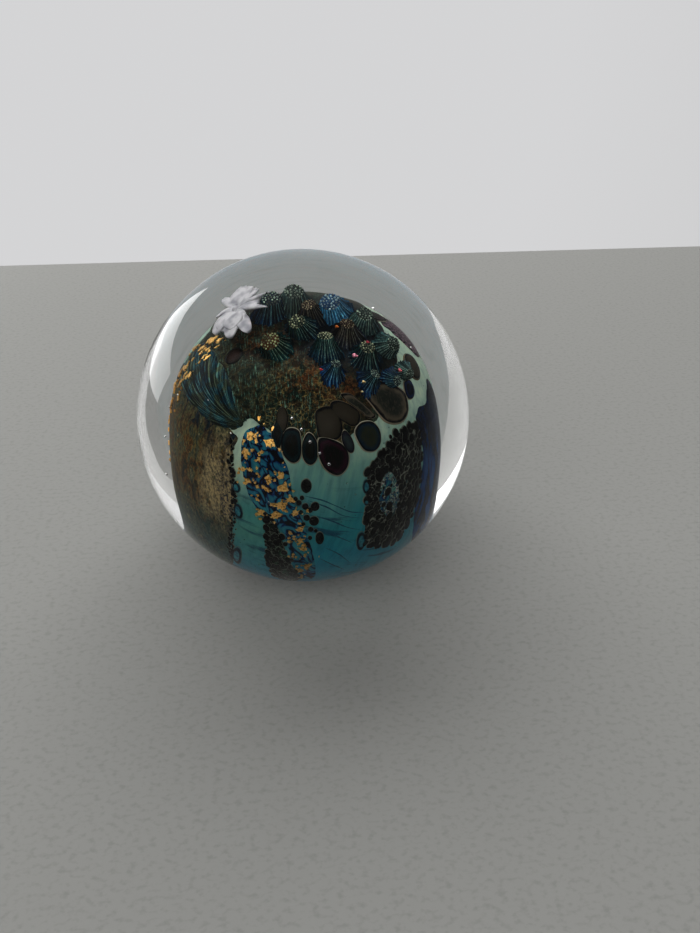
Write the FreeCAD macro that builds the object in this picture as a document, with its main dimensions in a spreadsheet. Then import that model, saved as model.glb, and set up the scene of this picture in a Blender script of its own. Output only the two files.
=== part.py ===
"""Solid glass paperweight: a clear ball, ground flat underneath, around a coloured glass core.

The core is gathered first.  A thin skin of coloured glass is laid over it, and every patch, lobe,
dot, ring and piece of gold leaf in that skin is rolled in flush, so together they close the skin.
Murrine canes stand on the crown, a small white flower floats beside them, and the clear casing is
gathered over everything.  Millimetres, +Z up, origin in the middle of the ground foot.
A place on the side of the core is given as (turn, height): degrees to the right of the front,
which is -Y, and millimetres above the foot.
"""
import FreeCAD, Part
import math
import os
import Sketcher
from FreeCAD import Placement, Rotation, Vector

OUT = "parts"
UP = Vector(0, 0, 1)
NO_OVERLAP = 1e-4

doc = FreeCAD.newDocument("paperweight")
sheet = doc.addObject("Spreadsheet::Sheet", "sizes")

DRIVING = {
    "ball_radius": 38.0,
    "ball_middle_height": 34.0,
    "foot_bevel": 0.6,
    "core_middle_height": 32.1,
    "core_radius": 20.5,
    "core_rise": 19.0,
    "core_drop": 28.5,
    "core_bottom_radius": 13.5,
    "crown_radius": 30.0,
    "shoulder_height": 2.0,
    "skin_thickness": 0.7,
    "leaf_thickness": 0.15,
    "cutter_reach": 30.0,
    "cane_root": 0.8,
    "cane_waist_height": 0.45,
    "cane_waist_flare": 0.25,
    "cane_notches": 9.0,
    "cane_notch_depth": 0.2,
    "cane_notch_width": 0.16,
    "flower_middle_x": -10.3,
    "flower_middle_y": 4.4,
    "flower_middle_height": 52.4,
    "flower_tilt": 30.0,
    "petal_half_thickness": 0.5,
    "eye_bead_radius": 0.9,
}

# Spline outlines round the side of the core, as (turn, height).
SIDE_PATCHES = {
    "khaki_panel": [
        (-40, 41.0), (-39, 37.5), (-38, 31.0), (-40, 25.0), (-46, 19.5), (-54, 13.0),
        (-80, 10.5), (-106, 13.0), (-118, 22.0), (-120, 33.0), (-108, 41.0), (-75, 42.6),
    ],
    "striated_band": [
        (-36, 43.0), (-50, 41.4), (-75, 41.4), (-104, 40.5), (-110, 45.0), (-88, 47.0), (-58, 46.5),
    ],
    "navy_band": [
        (68, 38.5), (82, 38.0), (98, 38.5), (103, 30.0), (98, 19.0), (86, 12.5), (73, 14.0),
        (64, 19.0), (64, 24.0), (68, 31.0),
    ],
    "plum_streak": [(88, 44.5), (104, 48.0), (122, 48.5), (120, 46.0), (104, 42.0)],
    "frit_patch": [
        (29.5, 19.0), (28.5, 26.0), (30, 34.0), (38, 36.4), (47, 38.0), (60, 38.0), (67, 35.5),
        (64, 26.0), (61, 20.5), (52, 16.6), (40, 17.0),
    ],
    "mosaic_heart": [(36, 26.0), (37, 31.0), (42, 32.4), (47, 29.5), (48, 25.0), (42, 23.4)],
    "swirl_stripe": [
        (-34, 41.0), (-26, 43.2), (-17, 41.6), (-10, 37.0), (-7, 30.5), (-3, 25.0), (1, 17.0),
        (1, 11.5), (-6, 11.0), (-11, 17.0), (-14, 23.5), (-24, 27.0), (-31, 33.0),
    ],
    "frit_stripe": [
        (-21, 27.4), (-13, 25.0), (-9, 17.0), (-5, 11.0), (-17, 9.4), (-26, 11.5), (-24, 20.0),
    ],
}

# Torn sheets of gold leaf, thinner than the skin, lying on top of it.
LEAF_SHEETS = {
    "gold_leaf_top": [(-33, 41.2), (-25, 42.6), (-15, 39.6), (-18, 38.6), (-25, 38.2), (-31, 38.8)],
    "gold_leaf_middle": [
        (-32, 37.2), (-22, 37.6), (-12, 35.6), (-9, 31.0), (-14, 29.0), (-20, 32.2), (-29, 33.4),
    ],
    "gold_leaf_lower": [(-24, 28.2), (-12, 28.4), (-5, 24.6), (-7, 21.4), (-13, 21.8), (-19, 25.8)],
    "gold_leaf_foot": [(-11, 20.0), (-4, 20.2), (-1, 14.6), (-5, 12.2), (-9.5, 13.2)],
    "gold_leaf_shoulder": [(-96, 45.2), (-84, 47.6), (-70, 46.8), (-74, 45.2), (-88, 43.8)],
    "gold_leaf_rim": [(-98, 40.6), (-86, 42.2), (-80, 40.8), (-84, 36.6), (-95, 36.8)],
}

# The mottled landscape over the crown, as (x, y) in plan.
CAP_OUTLINE = [
    (-11.0, -14.6), (-5.0, -15.8), (2.0, -16.0), (8.0, -13.6), (13.5, -10.0), (15.6, -3.0),
    (14.6, 6.0), (8.0, 13.0), (-3.0, 15.6), (-13.0, 10.5), (-16.6, 2.0), (-15.4, -8.0),
]

# Round blobs rolled into the side: turn, height, half length, half width, and lean, the angle in
# degrees from upright to the long axis.
SIDE_BLOBS = {
    "dot_upper": (-1.2, 33.6, 1.5, 0.95, 0.0),
    "dot_lower": (4.2, 22.2, 1.6, 0.8, 0.0),
    "dot_in_frit": (36.0, 32.8, 1.4, 1.0, 0.0),
    "ring_left_upper": (-36.0, 31.6, 1.1, 0.8, 0.0),
    "ring_left": (-36.0, 26.8, 1.7, 0.9, 0.0),
    "ring_left_low": (-45.5, 15.8, 3.0, 1.0, 35.0),
    "ring_right_upper": (28.3, 31.4, 1.5, 0.7, 0.0),
    "ring_right": (28.2, 28.4, 0.9, 0.5, 0.0),
    "ring_right_low": (26.8, 19.6, 2.4, 1.0, -8.0),
    "lobe_plum": (13.0, 38.4, 3.1, 2.9, -12.0),
    "lobe_bottle_green": (33.5, 40.3, 2.4, 2.2, 0.0),
    "lobe_dark_green_left": (-9.0, 40.4, 2.3, 1.8, 0.0),
    "lobe_dark_green_right": (1.2, 40.2, 2.0, 1.6, 0.0),
    "lobe_grey": (22.4, 40.4, 1.7, 0.9, -15.0),
    "lobe_teardrop": (55.0, 41.6, 3.4, 2.6, 70.0),
    "lobe_navy": (72.5, 42.2, 1.4, 1.1, 90.0),
}

# Round blobs rolled into the crown, in plan: x, y, half length, half width, and lean, the angle
# in degrees from the +Y direction to the long axis.
CROWN_BLOBS = {
    "spot_brown": (-11.0, -2.8, 1.5, 1.3, 0.0),
    "lobe_mauve": (-6.4, -14.6, 1.5, 0.9, 0.0),
    "lobe_umber": (3.6, -16.4, 2.6, 1.7, 90.0),
    "lobe_olive": (8.6, -14.2, 4.4, 2.2, 82.0),
    "lobe_right_shoulder": (17.6, 1.6, 2.4, 1.2, 0.0),
}

# Murrine canes on the crown: x and y of the foot, skirt radius, head radius, length, and lean,
# the angle in degrees away from the core's axis.
CANES = {
    "cane_khaki": (-4.2, -3.6, 2.9, 1.5, 3.4, 4.0),
    "cane_teal_front": (3.9, -4.0, 2.4, 1.1, 3.6, 6.0),
    "cane_teal_right": (9.7, -3.8, 2.2, 1.0, 3.4, 14.0),
    "cane_middle": (0.0, 0.6, 2.4, 1.0, 3.2, 2.0),
    "cane_middle_back": (2.0, 4.6, 2.2, 1.0, 3.4, 4.0),
    "cane_bright_blue": (5.6, 6.2, 2.9, 1.1, 4.0, 10.0),
    "cane_tall_back": (-2.6, 7.2, 3.0, 1.6, 5.2, 8.0),
    "cane_back_left": (-6.8, 7.4, 2.1, 1.1, 3.6, 14.0),
    "cane_blue_front": (4.8, -9.8, 1.9, 0.8, 2.8, 22.0),
    "cane_blue_front_right": (9.2, -9.2, 1.9, 0.8, 2.8, 26.0),
    "cane_navy_right": (12.4, -7.6, 1.6, 0.8, 2.6, 30.0),
    "cane_sage_right": (13.4, 0.2, 2.0, 1.0, 2.8, 26.0),
    "cane_sage_back": (10.2, 4.6, 2.0, 0.9, 3.0, 20.0),
    "cane_russet": (6.8, -0.6, 1.9, 0.8, 3.4, 8.0),
}

# Flower petals round the flower's middle: bearing, half length, half width, lift in degrees.
PETALS = {
    "petal_front_left": (214.0, 2.5, 1.5, 4.0),
    "petal_front": (262.0, 2.6, 1.3, -6.0),
    "petal_front_right": (300.0, 2.1, 0.9, 4.0),
    "petal_right": (2.0, 3.0, 0.8, 8.0),
    "petal_back": (52.0, 2.6, 1.4, 14.0),
    "petal_back_left": (122.0, 2.2, 1.0, 18.0),
}


def fill_sheet():
    """Write every driving size into the sheet as a plain number with an alias."""
    rows = dict(DRIVING)
    columns = (
        (SIDE_BLOBS, ("turn", "height", "half_length", "half_width", "lean")),
        (CROWN_BLOBS, ("x", "y", "half_length", "half_width", "lean")),
        (CANES, ("x", "y", "skirt", "head", "length", "lean")),
        (PETALS, ("bearing", "half_length", "half_width", "lift")),
    )
    for table, words in columns:
        for name, values in table.items():
            for word, value in zip(words, values):
                rows[f"{name}_{word}"] = value
    for row, (name, value) in enumerate(rows.items(), start=1):
        sheet.set(f"A{row}", name)
        sheet.set(f"B{row}", str(value))
        sheet.setAlias(f"B{row}", name)
    doc.recompute()


def size(name):
    """One size from the sheet, as a number."""
    return float(getattr(sheet, name))


def bind(obj, expressions):
    """Bind an object's properties to expressions on the sheet."""
    for prop, expression in expressions.items():
        obj.setExpression(prop, expression)


def new_sketch(body, name, role):
    """A sketch on one of its body's own origin planes."""
    sketch = body.newObject("Sketcher::SketchObject", name)
    plane = next(feature for feature in body.Origin.OriginFeatures if feature.Role == role)
    sketch.AttachmentSupport = [(plane, "")]
    sketch.MapMode = "FlatFace"
    return sketch


def dimension(sketch, name, expression, *constraint):
    """Add one named driving dimension to a sketch, bound to the sheet."""
    index = sketch.addConstraint(Sketcher.Constraint(*constraint))
    sketch.renameConstraint(index, name)
    sketch.setExpression("Constraints." + name, expression)


def join_ends(sketch, edges):
    """Make a closed chain of a sketch's edges, each one's end on the next one's start."""
    for edge in range(edges):
        following = (edge + 1) % edges
        sketch.addConstraint(Sketcher.Constraint("Coincident", edge, 2, following, 1))


def revolve(body, sketch):
    """Turn a closed half profile once round the sketch's upright axis."""
    turned = body.newObject("PartDesign::Revolution", body.Name + "_turned")
    turned.Profile = sketch
    turned.ReferenceAxis = (sketch, ["V_Axis"])
    turned.Angle = 360
    return turned


def arc(x, y, radius, start, end):
    """An arc for a sketch, anticlockwise between two angles in radians."""
    circle = Part.Circle(Vector(x, y, 0), UP, radius)
    return Part.ArcOfCircle(circle, start, end)


def line(x1, y1, x2, y2):
    """A straight edge for a sketch."""
    return Part.LineSegment(Vector(x1, y1, 0), Vector(x2, y2, 0))


def cut(name, base, tools):
    """One shape with others taken out of it."""
    result = doc.addObject("Part::Cut", name)
    result.Base = base
    result.Tool = tools[0] if len(tools) == 1 else fuse(name + "_tools", tools)
    return result


def fuse(name, shapes):
    """Several shapes joined into one."""
    result = doc.addObject("Part::MultiFuse", name)
    result.Shapes = shapes
    return result


def make_ball():
    """The clear ball's outside, with its ground foot and the small bevel round the foot."""
    body = doc.addObject("PartDesign::Body", "ball_blank")
    sketch = new_sketch(body, "ball_profile", "XZ_Plane")
    radius = size("ball_radius")
    middle = size("ball_middle_height")
    bevel = size("foot_bevel")
    low = math.asin((bevel - middle) / radius)
    rim = radius * math.cos(low)
    sketch.addGeometry(arc(0, middle, radius, low, math.pi / 2))
    sketch.addGeometry(line(0, middle + radius, 0, 0))
    sketch.addGeometry(line(0, 0, rim - bevel, 0))
    sketch.addGeometry(line(rim - bevel, 0, rim, bevel))
    join_ends(sketch, 4)
    sketch.addConstraint(Sketcher.Constraint("Coincident", 1, 2, -1, 1))
    sketch.addConstraint(Sketcher.Constraint("PointOnObject", 0, 3, -2))
    sketch.addConstraint(Sketcher.Constraint("Vertical", 1))
    sketch.addConstraint(Sketcher.Constraint("Horizontal", 2))
    dimension(sketch, "radius", "sizes.ball_radius", "Radius", 0, radius)
    dimension(sketch, "middle", "sizes.ball_middle_height", "DistanceY", -1, 1, 0, 3, middle)
    dimension(sketch, "bevel_rise", "sizes.foot_bevel", "DistanceY", -1, 1, 3, 2, bevel)
    dimension(sketch, "bevel_run", "sizes.foot_bevel", "DistanceX", 3, 1, 3, 2, bevel)
    revolve(body, sketch)
    return body


def core_arcs(inset=0.0):
    """The core's half profile about its own middle, shrunk inwards by `inset`.

    Four arcs in turn, bottom, flank, shoulder and crown, each (x, z, radius, start, end).  Each
    is tangent to the next, with a short straight wall between the flank and the shoulder.
    """
    wide = size("core_radius")
    bottom_radius = size("core_bottom_radius")
    bottom_z = bottom_radius - size("core_drop")
    flank_radius = (wide**2 - bottom_radius**2 + bottom_z**2) / (2 * (wide - bottom_radius))
    flank_x = wide - flank_radius
    shoulder_z = size("shoulder_height")
    crown_radius = size("crown_radius")
    crown_z = size("core_rise") - crown_radius
    spare = crown_radius - wide
    shoulder_x = ((shoulder_z - crown_z) ** 2 - spare**2) / (2 * spare)
    low = math.atan2(bottom_z, -flank_x)
    high = math.atan2(shoulder_z - crown_z, shoulder_x)
    return (
        (0.0, bottom_z, bottom_radius - inset, -math.pi / 2, low),
        (flank_x, 0.0, flank_radius - inset, low, 0.0),
        (shoulder_x, shoulder_z, wide - shoulder_x - inset, 0.0, high),
        (0.0, crown_z, crown_radius - inset, high, math.pi / 2),
    )


def core_radius_at(height):
    """The core's outside radius at a height above the foot."""
    z = height - size("core_middle_height")
    for x, middle, radius, start, end in core_arcs():
        if middle + radius * math.sin(start) <= z <= middle + radius * math.sin(end):
            return x + math.sqrt(radius**2 - (z - middle) ** 2)
    return size("core_radius")


def core_height_at(distance):
    """The height above the foot of the core's crown, at a distance from its axis."""
    _, _, shoulder, crown = core_arcs()
    x, middle, radius = crown[:3] if distance < crown[2] * math.cos(crown[3]) else shoulder[:3]
    return size("core_middle_height") + middle + math.sqrt(radius**2 - (distance - x) ** 2)


def make_egg(name, inset=None):
    """A solid of the core's outside shape, shrunk inwards by one of the sheet's sizes."""
    body = doc.addObject("PartDesign::Body", name)
    sketch = new_sketch(body, name + "_profile", "XZ_Plane")
    shrink = f" - sizes.{inset}" if inset else ""
    bottom, flank, shoulder, crown = core_arcs(size(inset) if inset else 0.0)
    wide = flank[0] + flank[2]
    top = crown[1] + crown[2]
    tip = bottom[1] - bottom[2]
    sketch.addGeometry(arc(*bottom))
    sketch.addGeometry(arc(*flank))
    sketch.addGeometry(line(wide, 0, wide, shoulder[1]))
    sketch.addGeometry(arc(*shoulder))
    sketch.addGeometry(arc(*crown))
    sketch.addGeometry(line(0, top, 0, tip))
    for edge in range(4):
        sketch.addConstraint(Sketcher.Constraint("Tangent", edge, 2, edge + 1, 1))
    sketch.addConstraint(Sketcher.Constraint("Coincident", 4, 2, 5, 1))
    sketch.addConstraint(Sketcher.Constraint("Coincident", 5, 2, 0, 1))
    for edge, point, axis in ((0, 3, -2), (4, 3, -2), (5, 1, -2), (5, 2, -2), (1, 3, -1)):
        sketch.addConstraint(Sketcher.Constraint("PointOnObject", edge, point, axis))
    dimension(sketch, "wide", "sizes.core_radius" + shrink, "DistanceX", -1, 1, 2, 1, wide)
    dimension(sketch, "rise", "sizes.core_rise" + shrink, "DistanceY", -1, 1, 4, 2, top)
    dimension(sketch, "drop", "sizes.core_drop" + shrink, "DistanceY", 0, 1, -1, 1, -tip)
    dimension(sketch, "foot", "sizes.core_bottom_radius" + shrink, "Radius", 0, bottom[2])
    dimension(sketch, "crown", "sizes.crown_radius" + shrink, "Radius", 4, crown[2])
    dimension(sketch, "edge", "sizes.shoulder_height", "DistanceY", -1, 1, 2, 2, shoulder[1])
    revolve(body, sketch)
    bind(body, {"Placement.Base.z": "sizes.core_middle_height"})
    return body


def rolled_in(name, outline, layer):
    """What a cutter standing on an outline leaves of a layer of the core's skin."""
    cutter = doc.addObject("Part::Extrusion", name + "_cutter")
    cutter.Base = outline
    cutter.DirMode = "Normal"
    cutter.Solid = True
    bind(cutter, {"LengthFwd": "sizes.cutter_reach"})
    blank = doc.addObject("Part::Common", name + "_blank")
    blank.Base = layer
    blank.Tool = cutter
    return blank


def spline_outline(name, points, placement):
    """A closed smooth outline through points on a sketch's plane."""
    sketch = doc.addObject("Sketcher::SketchObject", name + "_outline")
    curve = Part.BSplineCurve()
    curve.interpolate(Points=[Vector(x, y, 0) for x, y in points], PeriodicFlag=True)
    sketch.addGeometry(curve)
    sketch.Placement = placement
    return sketch


def side_patch(name, points, layer):
    """A patch on the side, from its outline in (turn, height)."""
    turns = [turn for turn, _ in points]
    facing = (min(turns) + max(turns)) / 2
    flat = [
        (core_radius_at(height) * math.sin(math.radians(turn - facing)), height)
        for turn, height in points
    ]
    upright = Rotation(UP, facing) * Rotation(Vector(1, 0, 0), 90)
    return rolled_in(name, spline_outline(name, flat, Placement(Vector(), upright)), layer)


def crown_patch(name, points, layer):
    """A patch on the crown, from its outline in plan."""
    above = Placement(Vector(0, 0, size("core_middle_height")), Rotation())
    return rolled_in(name, spline_outline(name, points, above), layer)


def blob(name, placement, layer):
    """An oval piece of the skin, its two radii and place bound to the sheet."""
    oval = doc.addObject("Part::Ellipse", name + "_oval")
    bind(oval, {
        "MajorRadius": f"sizes.{name}_half_length",
        "MinorRadius": f"sizes.{name}_half_width",
        "Placement": placement,
    })
    return rolled_in(name, oval, layer)


def side_blob(name, layer):
    """An oval on the side: stood up, leaned over in its plane, then turned to its place."""
    where = f"vector(0; 0; sizes.{name}_height)"
    turned = f"rotation(vector(0; 0; 1); sizes.{name}_turn)"
    stood = "rotation(vector(1; 0; 0); 90)"
    leaned = f"rotation(vector(0; 0; 1); 90 - sizes.{name}_lean)"
    return blob(name, f"placement({where}; {turned} * {stood} * {leaned})", layer)


def crown_blob(name, layer):
    """An oval on the crown, seen in plan."""
    where = f"vector(sizes.{name}_x; sizes.{name}_y; sizes.core_middle_height)"
    leaned = f"rotation(vector(0; 0; 1); 90 - sizes.{name}_lean)"
    return blob(name, f"placement({where}; {leaned})", layer)


def make_cane(name):
    """A murrine cane: a bell turned on its axis, its skirt notched between the rods."""
    body = doc.addObject("PartDesign::Body", name + "_blank")
    sketch = new_sketch(body, name + "_profile", "XZ_Plane")
    skirt = size(name + "_skirt")
    head = size(name + "_head")
    length = size(name + "_length") + size("cane_root")
    flare = size("cane_waist_flare")
    waist = head + flare * (skirt - head)
    waist_height = size("cane_waist_height") * length
    corners = ((0, 0), (skirt, 0), (waist, waist_height), (head, length), (0, length))
    for start, end in zip(corners, corners[1:] + corners[:1]):
        sketch.addGeometry(line(*start, *end))
    join_ends(sketch, len(corners))
    sketch.addConstraint(Sketcher.Constraint("Coincident", 0, 1, -1, 1))
    sketch.addConstraint(Sketcher.Constraint("Horizontal", 0))
    sketch.addConstraint(Sketcher.Constraint("Horizontal", 3))
    sketch.addConstraint(Sketcher.Constraint("Vertical", 4))
    long = f"(sizes.{name}_length + sizes.cane_root)"
    spread = f"sizes.cane_waist_flare * (sizes.{name}_skirt - sizes.{name}_head)"
    dimension(sketch, "skirt", f"sizes.{name}_skirt", "DistanceX", -1, 1, 0, 2, skirt)
    dimension(sketch, "head", f"sizes.{name}_head", "DistanceX", -1, 1, 2, 2, head)
    dimension(sketch, "waist", f"sizes.{name}_head + {spread}", "DistanceX", -1, 1, 1, 2, waist)
    dimension(sketch, "top", long, "DistanceY", -1, 1, 2, 2, length)
    dimension(
        sketch, "waist_height", f"sizes.cane_waist_height * {long}",
        "DistanceY", -1, 1, 1, 2, waist_height,
    )
    revolve(body, sketch)
    notch_skirt(body, name, skirt)
    place_cane(body, name)
    return body


def notch_skirt(body, name, skirt):
    """Cut the notches that scallop a cane's skirt."""
    sketch = new_sketch(body, name + "_notch", "XY_Plane")
    inner = skirt * (1 - size("cane_notch_depth"))
    half = skirt * size("cane_notch_width")
    outer = skirt + half
    sketch.addGeometry(line(inner, 0, outer, -half))
    sketch.addGeometry(line(outer, -half, outer, half))
    sketch.addGeometry(line(outer, half, inner, 0))
    join_ends(sketch, 3)
    sketch.addConstraint(Sketcher.Constraint("Vertical", 1))
    sketch.addConstraint(Sketcher.Constraint("PointOnObject", 0, 1, -1))
    inner_rule = f"sizes.{name}_skirt * (1 - sizes.cane_notch_depth)"
    half_rule = f"sizes.{name}_skirt * sizes.cane_notch_width"
    dimension(sketch, "inner", inner_rule, "DistanceX", -1, 1, 0, 1, inner)
    dimension(
        sketch, "outer", f"sizes.{name}_skirt + {half_rule}", "DistanceX", -1, 1, 0, 2, outer,
    )
    dimension(sketch, "below", half_rule, "DistanceY", 0, 2, -1, 1, half)
    dimension(sketch, "above", half_rule, "DistanceY", -1, 1, 1, 2, half)
    notch = body.newObject("PartDesign::Pocket", name + "_notched")
    notch.Profile = sketch
    notch.Type = "ThroughAll"
    notch.Reversed = True
    pattern = body.newObject("PartDesign::PolarPattern", name + "_notches")
    pattern.Originals = [notch]
    pattern.Axis = (sketch, ["N_Axis"])
    pattern.Angle = 360
    bind(pattern, {"Occurrences": "sizes.cane_notches"})
    body.Tip = pattern


def place_cane(body, name):
    """Stand a cane on the crown, its root just under the surface, leaning away from the axis."""
    x = size(name + "_x")
    y = size(name + "_y")
    lean = Rotation(Vector(-y, x, 0), size(name + "_lean"))
    surface = Vector(x, y, core_height_at(math.hypot(x, y)))
    root = lean.multVec(UP) * size("cane_root")
    body.Placement = Placement(surface - root, lean)


def make_petal(name, flower):
    """A flower petal: a flat ellipsoid reaching out from the flower's middle."""
    petal = doc.addObject("Part::Ellipsoid", name + "_blank")
    bind(petal, {
        "Radius1": "sizes.petal_half_thickness",
        "Radius2": f"sizes.{name}_half_length",
        "Radius3": f"sizes.{name}_half_width",
    })
    swing = Rotation(UP, size(name + "_bearing")) * Rotation(Vector(0, 1, 0), -size(name + "_lift"))
    reach = swing.multVec(Vector(size(name + "_half_length"), 0, 0))
    petal.Placement = flower * Placement(reach, swing)
    return petal


def make_flower():
    """The blanks of the flower's bead and petals, all facing up and out to the left."""
    middle = Vector(
        size("flower_middle_x"), size("flower_middle_y"), size("flower_middle_height")
    )
    outward = Rotation(Vector(-middle.y, middle.x, 0), size("flower_tilt"))
    flower = Placement(middle, outward)
    bead = doc.addObject("Part::Sphere", "flower_bead_blank")
    bind(bead, {"Radius": "sizes.eye_bead_radius"})
    bead.Placement = flower
    blanks = {"flower_bead": bead}
    for name in PETALS:
        blanks[name] = make_petal(name, flower)
    return blanks


def meets(one, other):
    """Whether two finished shapes share any volume."""
    if not one.Shape.BoundBox.intersect(other.Shape.BoundBox):
        return False
    return one.Shape.common(other.Shape).Volume > NO_OVERLAP


def trim_in_turn(blanks, always=()):
    """Each blank keeps what the blanks before it leave: every piece becomes its own solid."""
    doc.recompute()
    pieces = {}
    earlier = []
    for name, blank in blanks.items():
        tools = list(always) + [other for other in earlier if meets(blank, other)]
        pieces[name] = cut(name, blank, tools) if tools else blank
        earlier.append(blank)
    return pieces


def make_skin(skin, leaf):
    """The blanks of everything rolled into the core's skin, the topmost first."""
    blanks = {}
    for name, points in LEAF_SHEETS.items():
        blanks[name] = side_patch(name, points, leaf)
    for name in SIDE_BLOBS:
        blanks[name] = side_blob(name, skin)
    for name in CROWN_BLOBS:
        blanks[name] = crown_blob(name, skin)
    for name in ("mosaic_heart", "frit_patch", "swirl_stripe", "frit_stripe"):
        blanks[name] = side_patch(name, SIDE_PATCHES[name], skin)
    blanks["landscape_cap"] = crown_patch("landscape_cap", CAP_OUTLINE, skin)
    for name in ("plum_streak", "striated_band", "khaki_panel", "navy_band"):
        blanks[name] = side_patch(name, SIDE_PATCHES[name], skin)
    return blanks


def build():
    """Every sub-part, by name."""
    fill_sheet()
    outer = make_egg("core_outside")
    under_leaf = make_egg("core_under_leaf", "leaf_thickness")
    dark_core = make_egg("dark_core", "skin_thickness")
    skin = cut("skin", outer, [dark_core])
    leaf = cut("leaf", outer, [under_leaf])

    skin_blanks = make_skin(skin, leaf)
    pieces = {"dark_core": dark_core}
    pieces.update(trim_in_turn(skin_blanks))
    pieces["teal_ground"] = cut("teal_ground", skin, list(skin_blanks.values()))

    standing = make_flower()
    for name in CANES:
        standing[name] = make_cane(name)
    pieces.update(trim_in_turn(standing, always=[outer]))

    cavity = fuse("cavity", [outer] + list(standing.values()))
    pieces["clear_casing"] = cut("clear_casing", make_ball(), [cavity])
    return pieces


def check_and_export(pieces):
    """Stop on anything that failed, then write one STEP file for each sub-part."""
    doc.recompute()
    for obj in doc.Objects:
        if {"Invalid", "Error"} & set(obj.State):
            raise RuntimeError(f"{obj.Name} failed: {obj.State}")
    os.makedirs(OUT, exist_ok=True)
    for name, piece in pieces.items():
        piece.Label = name
        shape = piece.Shape
        if shape.isNull() or not shape.isValid() or shape.Volume <= 0:
            raise RuntimeError(f"{name} has no valid solid")
        shape.exportStep(f"{OUT}/{name}.step")
        print(f"{name}: {len(shape.Solids)} solid, {shape.Volume:.2f} mm3")


check_and_export(build())
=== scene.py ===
"""Looks of a solid glass paperweight: a clear ball round a core of coloured glass.

The core's ground, its patches, lobes, canes, gold leaf and flower are built as meshes laid on
the core's own shape, and the clear casing is one closed ball of glass around them.
Layout is in millimetres; a place on the core's side is (turn, height): degrees to the right of
the front, which is -Y, and millimetres above the foot.  A place on its crown is (x, y) in plan.
"""
import math
import random

import bmesh
import bpy
from mathutils import Matrix, Vector, noise
from mathutils.geometry import delaunay_2d_cdt


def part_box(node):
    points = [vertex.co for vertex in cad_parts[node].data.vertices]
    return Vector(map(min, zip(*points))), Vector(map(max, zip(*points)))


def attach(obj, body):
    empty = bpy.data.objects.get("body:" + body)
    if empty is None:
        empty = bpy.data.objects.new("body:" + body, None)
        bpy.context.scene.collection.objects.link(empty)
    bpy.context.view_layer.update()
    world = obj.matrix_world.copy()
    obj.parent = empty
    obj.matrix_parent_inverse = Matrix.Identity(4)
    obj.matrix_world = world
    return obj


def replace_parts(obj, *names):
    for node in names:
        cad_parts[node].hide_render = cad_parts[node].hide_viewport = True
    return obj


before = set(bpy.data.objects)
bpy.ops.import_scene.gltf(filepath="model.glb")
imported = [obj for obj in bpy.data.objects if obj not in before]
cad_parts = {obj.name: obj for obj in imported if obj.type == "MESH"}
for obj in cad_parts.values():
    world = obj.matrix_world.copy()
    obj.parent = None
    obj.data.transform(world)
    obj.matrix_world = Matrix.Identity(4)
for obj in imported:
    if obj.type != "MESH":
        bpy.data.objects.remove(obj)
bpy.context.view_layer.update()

MM = 0.001

ball_low, ball_high = (Vector(corner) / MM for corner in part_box("clear_casing"))
core_low, core_high = (Vector(corner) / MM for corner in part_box("dark_core"))

BALL_RADIUS = (ball_high.x - ball_low.x) / 2
BALL_MIDDLE = ball_high.z - BALL_RADIUS
FOOT_BEVEL = 0.6

# The core's outside is two half superellipses about a middle height, a skin's depth over the
# dark core: one rises to the crown and one drops to the foot, each with its own power.
SKIN = 0.7
CORE_RADIUS = (core_high.x - core_low.x) / 2 + SKIN
CORE_MIDDLE = 32.1
CORE_RISE = core_high.z + SKIN - CORE_MIDDLE
CORE_DROP = CORE_MIDDLE - core_low.z + SKIN
RISE_POWER = 2.3
DROP_POWER = 2.05
ARC_PER_DEGREE = math.radians(CORE_RADIUS)


# ---- places on the core

def on_core(reach, z, towards, lift):
    """A point `lift` off the core, at `reach` from its axis and `z` above its middle."""
    rise, power = (CORE_RISE, RISE_POWER) if z > 0 else (CORE_DROP, DROP_POWER)
    slope_out = (reach / CORE_RADIUS) ** (power - 1) / CORE_RADIUS
    slope_up = math.copysign((abs(z) / rise) ** (power - 1) / rise, z)
    normal = Vector((towards.x * slope_out, towards.y * slope_out, slope_up)).normalized()
    spot = Vector((towards.x * reach, towards.y * reach, z + CORE_MIDDLE))
    return spot + normal * lift


def side_place(arc, height, lift=0.0):
    """A point on the side, from arc length round the widest ring and height."""
    turn = math.radians(arc / ARC_PER_DEGREE)
    z = height - CORE_MIDDLE
    rise, power = (CORE_RISE, RISE_POWER) if z > 0 else (CORE_DROP, DROP_POWER)
    reach = CORE_RADIUS * max(0.0, 1 - min(1.0, abs(z) / rise) ** power) ** (1 / power)
    return on_core(reach, z, Vector((math.sin(turn), -math.cos(turn))), lift)


def crown_place(x, y, lift=0.0):
    """A point on the crown, from its place in plan; a place off the edge is drawn in to it."""
    reach = min(math.hypot(x, y), 0.999 * CORE_RADIUS)
    z = CORE_RISE * (1 - (reach / CORE_RADIUS) ** RISE_POWER) ** (1 / RISE_POWER)
    towards = Vector((x, y)).normalized() if reach > 0 else Vector((1, 0))
    return on_core(reach, z, towards, lift)


def unrolled(turn_and_height):
    """Points given as (turn, height), flattened to arc length and height."""
    return [(turn * ARC_PER_DEGREE, height) for turn, height in turn_and_height]


# ---- flat loops and level rings

def smooth_loop(points, steps=8):
    """A closed Catmull-Rom curve through flat points."""
    corners = [Vector(point) for point in points]
    count = len(corners)
    loop = []
    for i in range(count):
        before, start, end, after = (corners[(i + k) % count] for k in (-1, 0, 1, 2))
        for step in range(steps):
            share = step / steps
            loop.append(0.5 * (
                2 * start + (end - before) * share
                + (2 * before - 5 * start + 4 * end - after) * share**2
                + (3 * start - before - 3 * end + after) * share**3
            ))
    return loop


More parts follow.
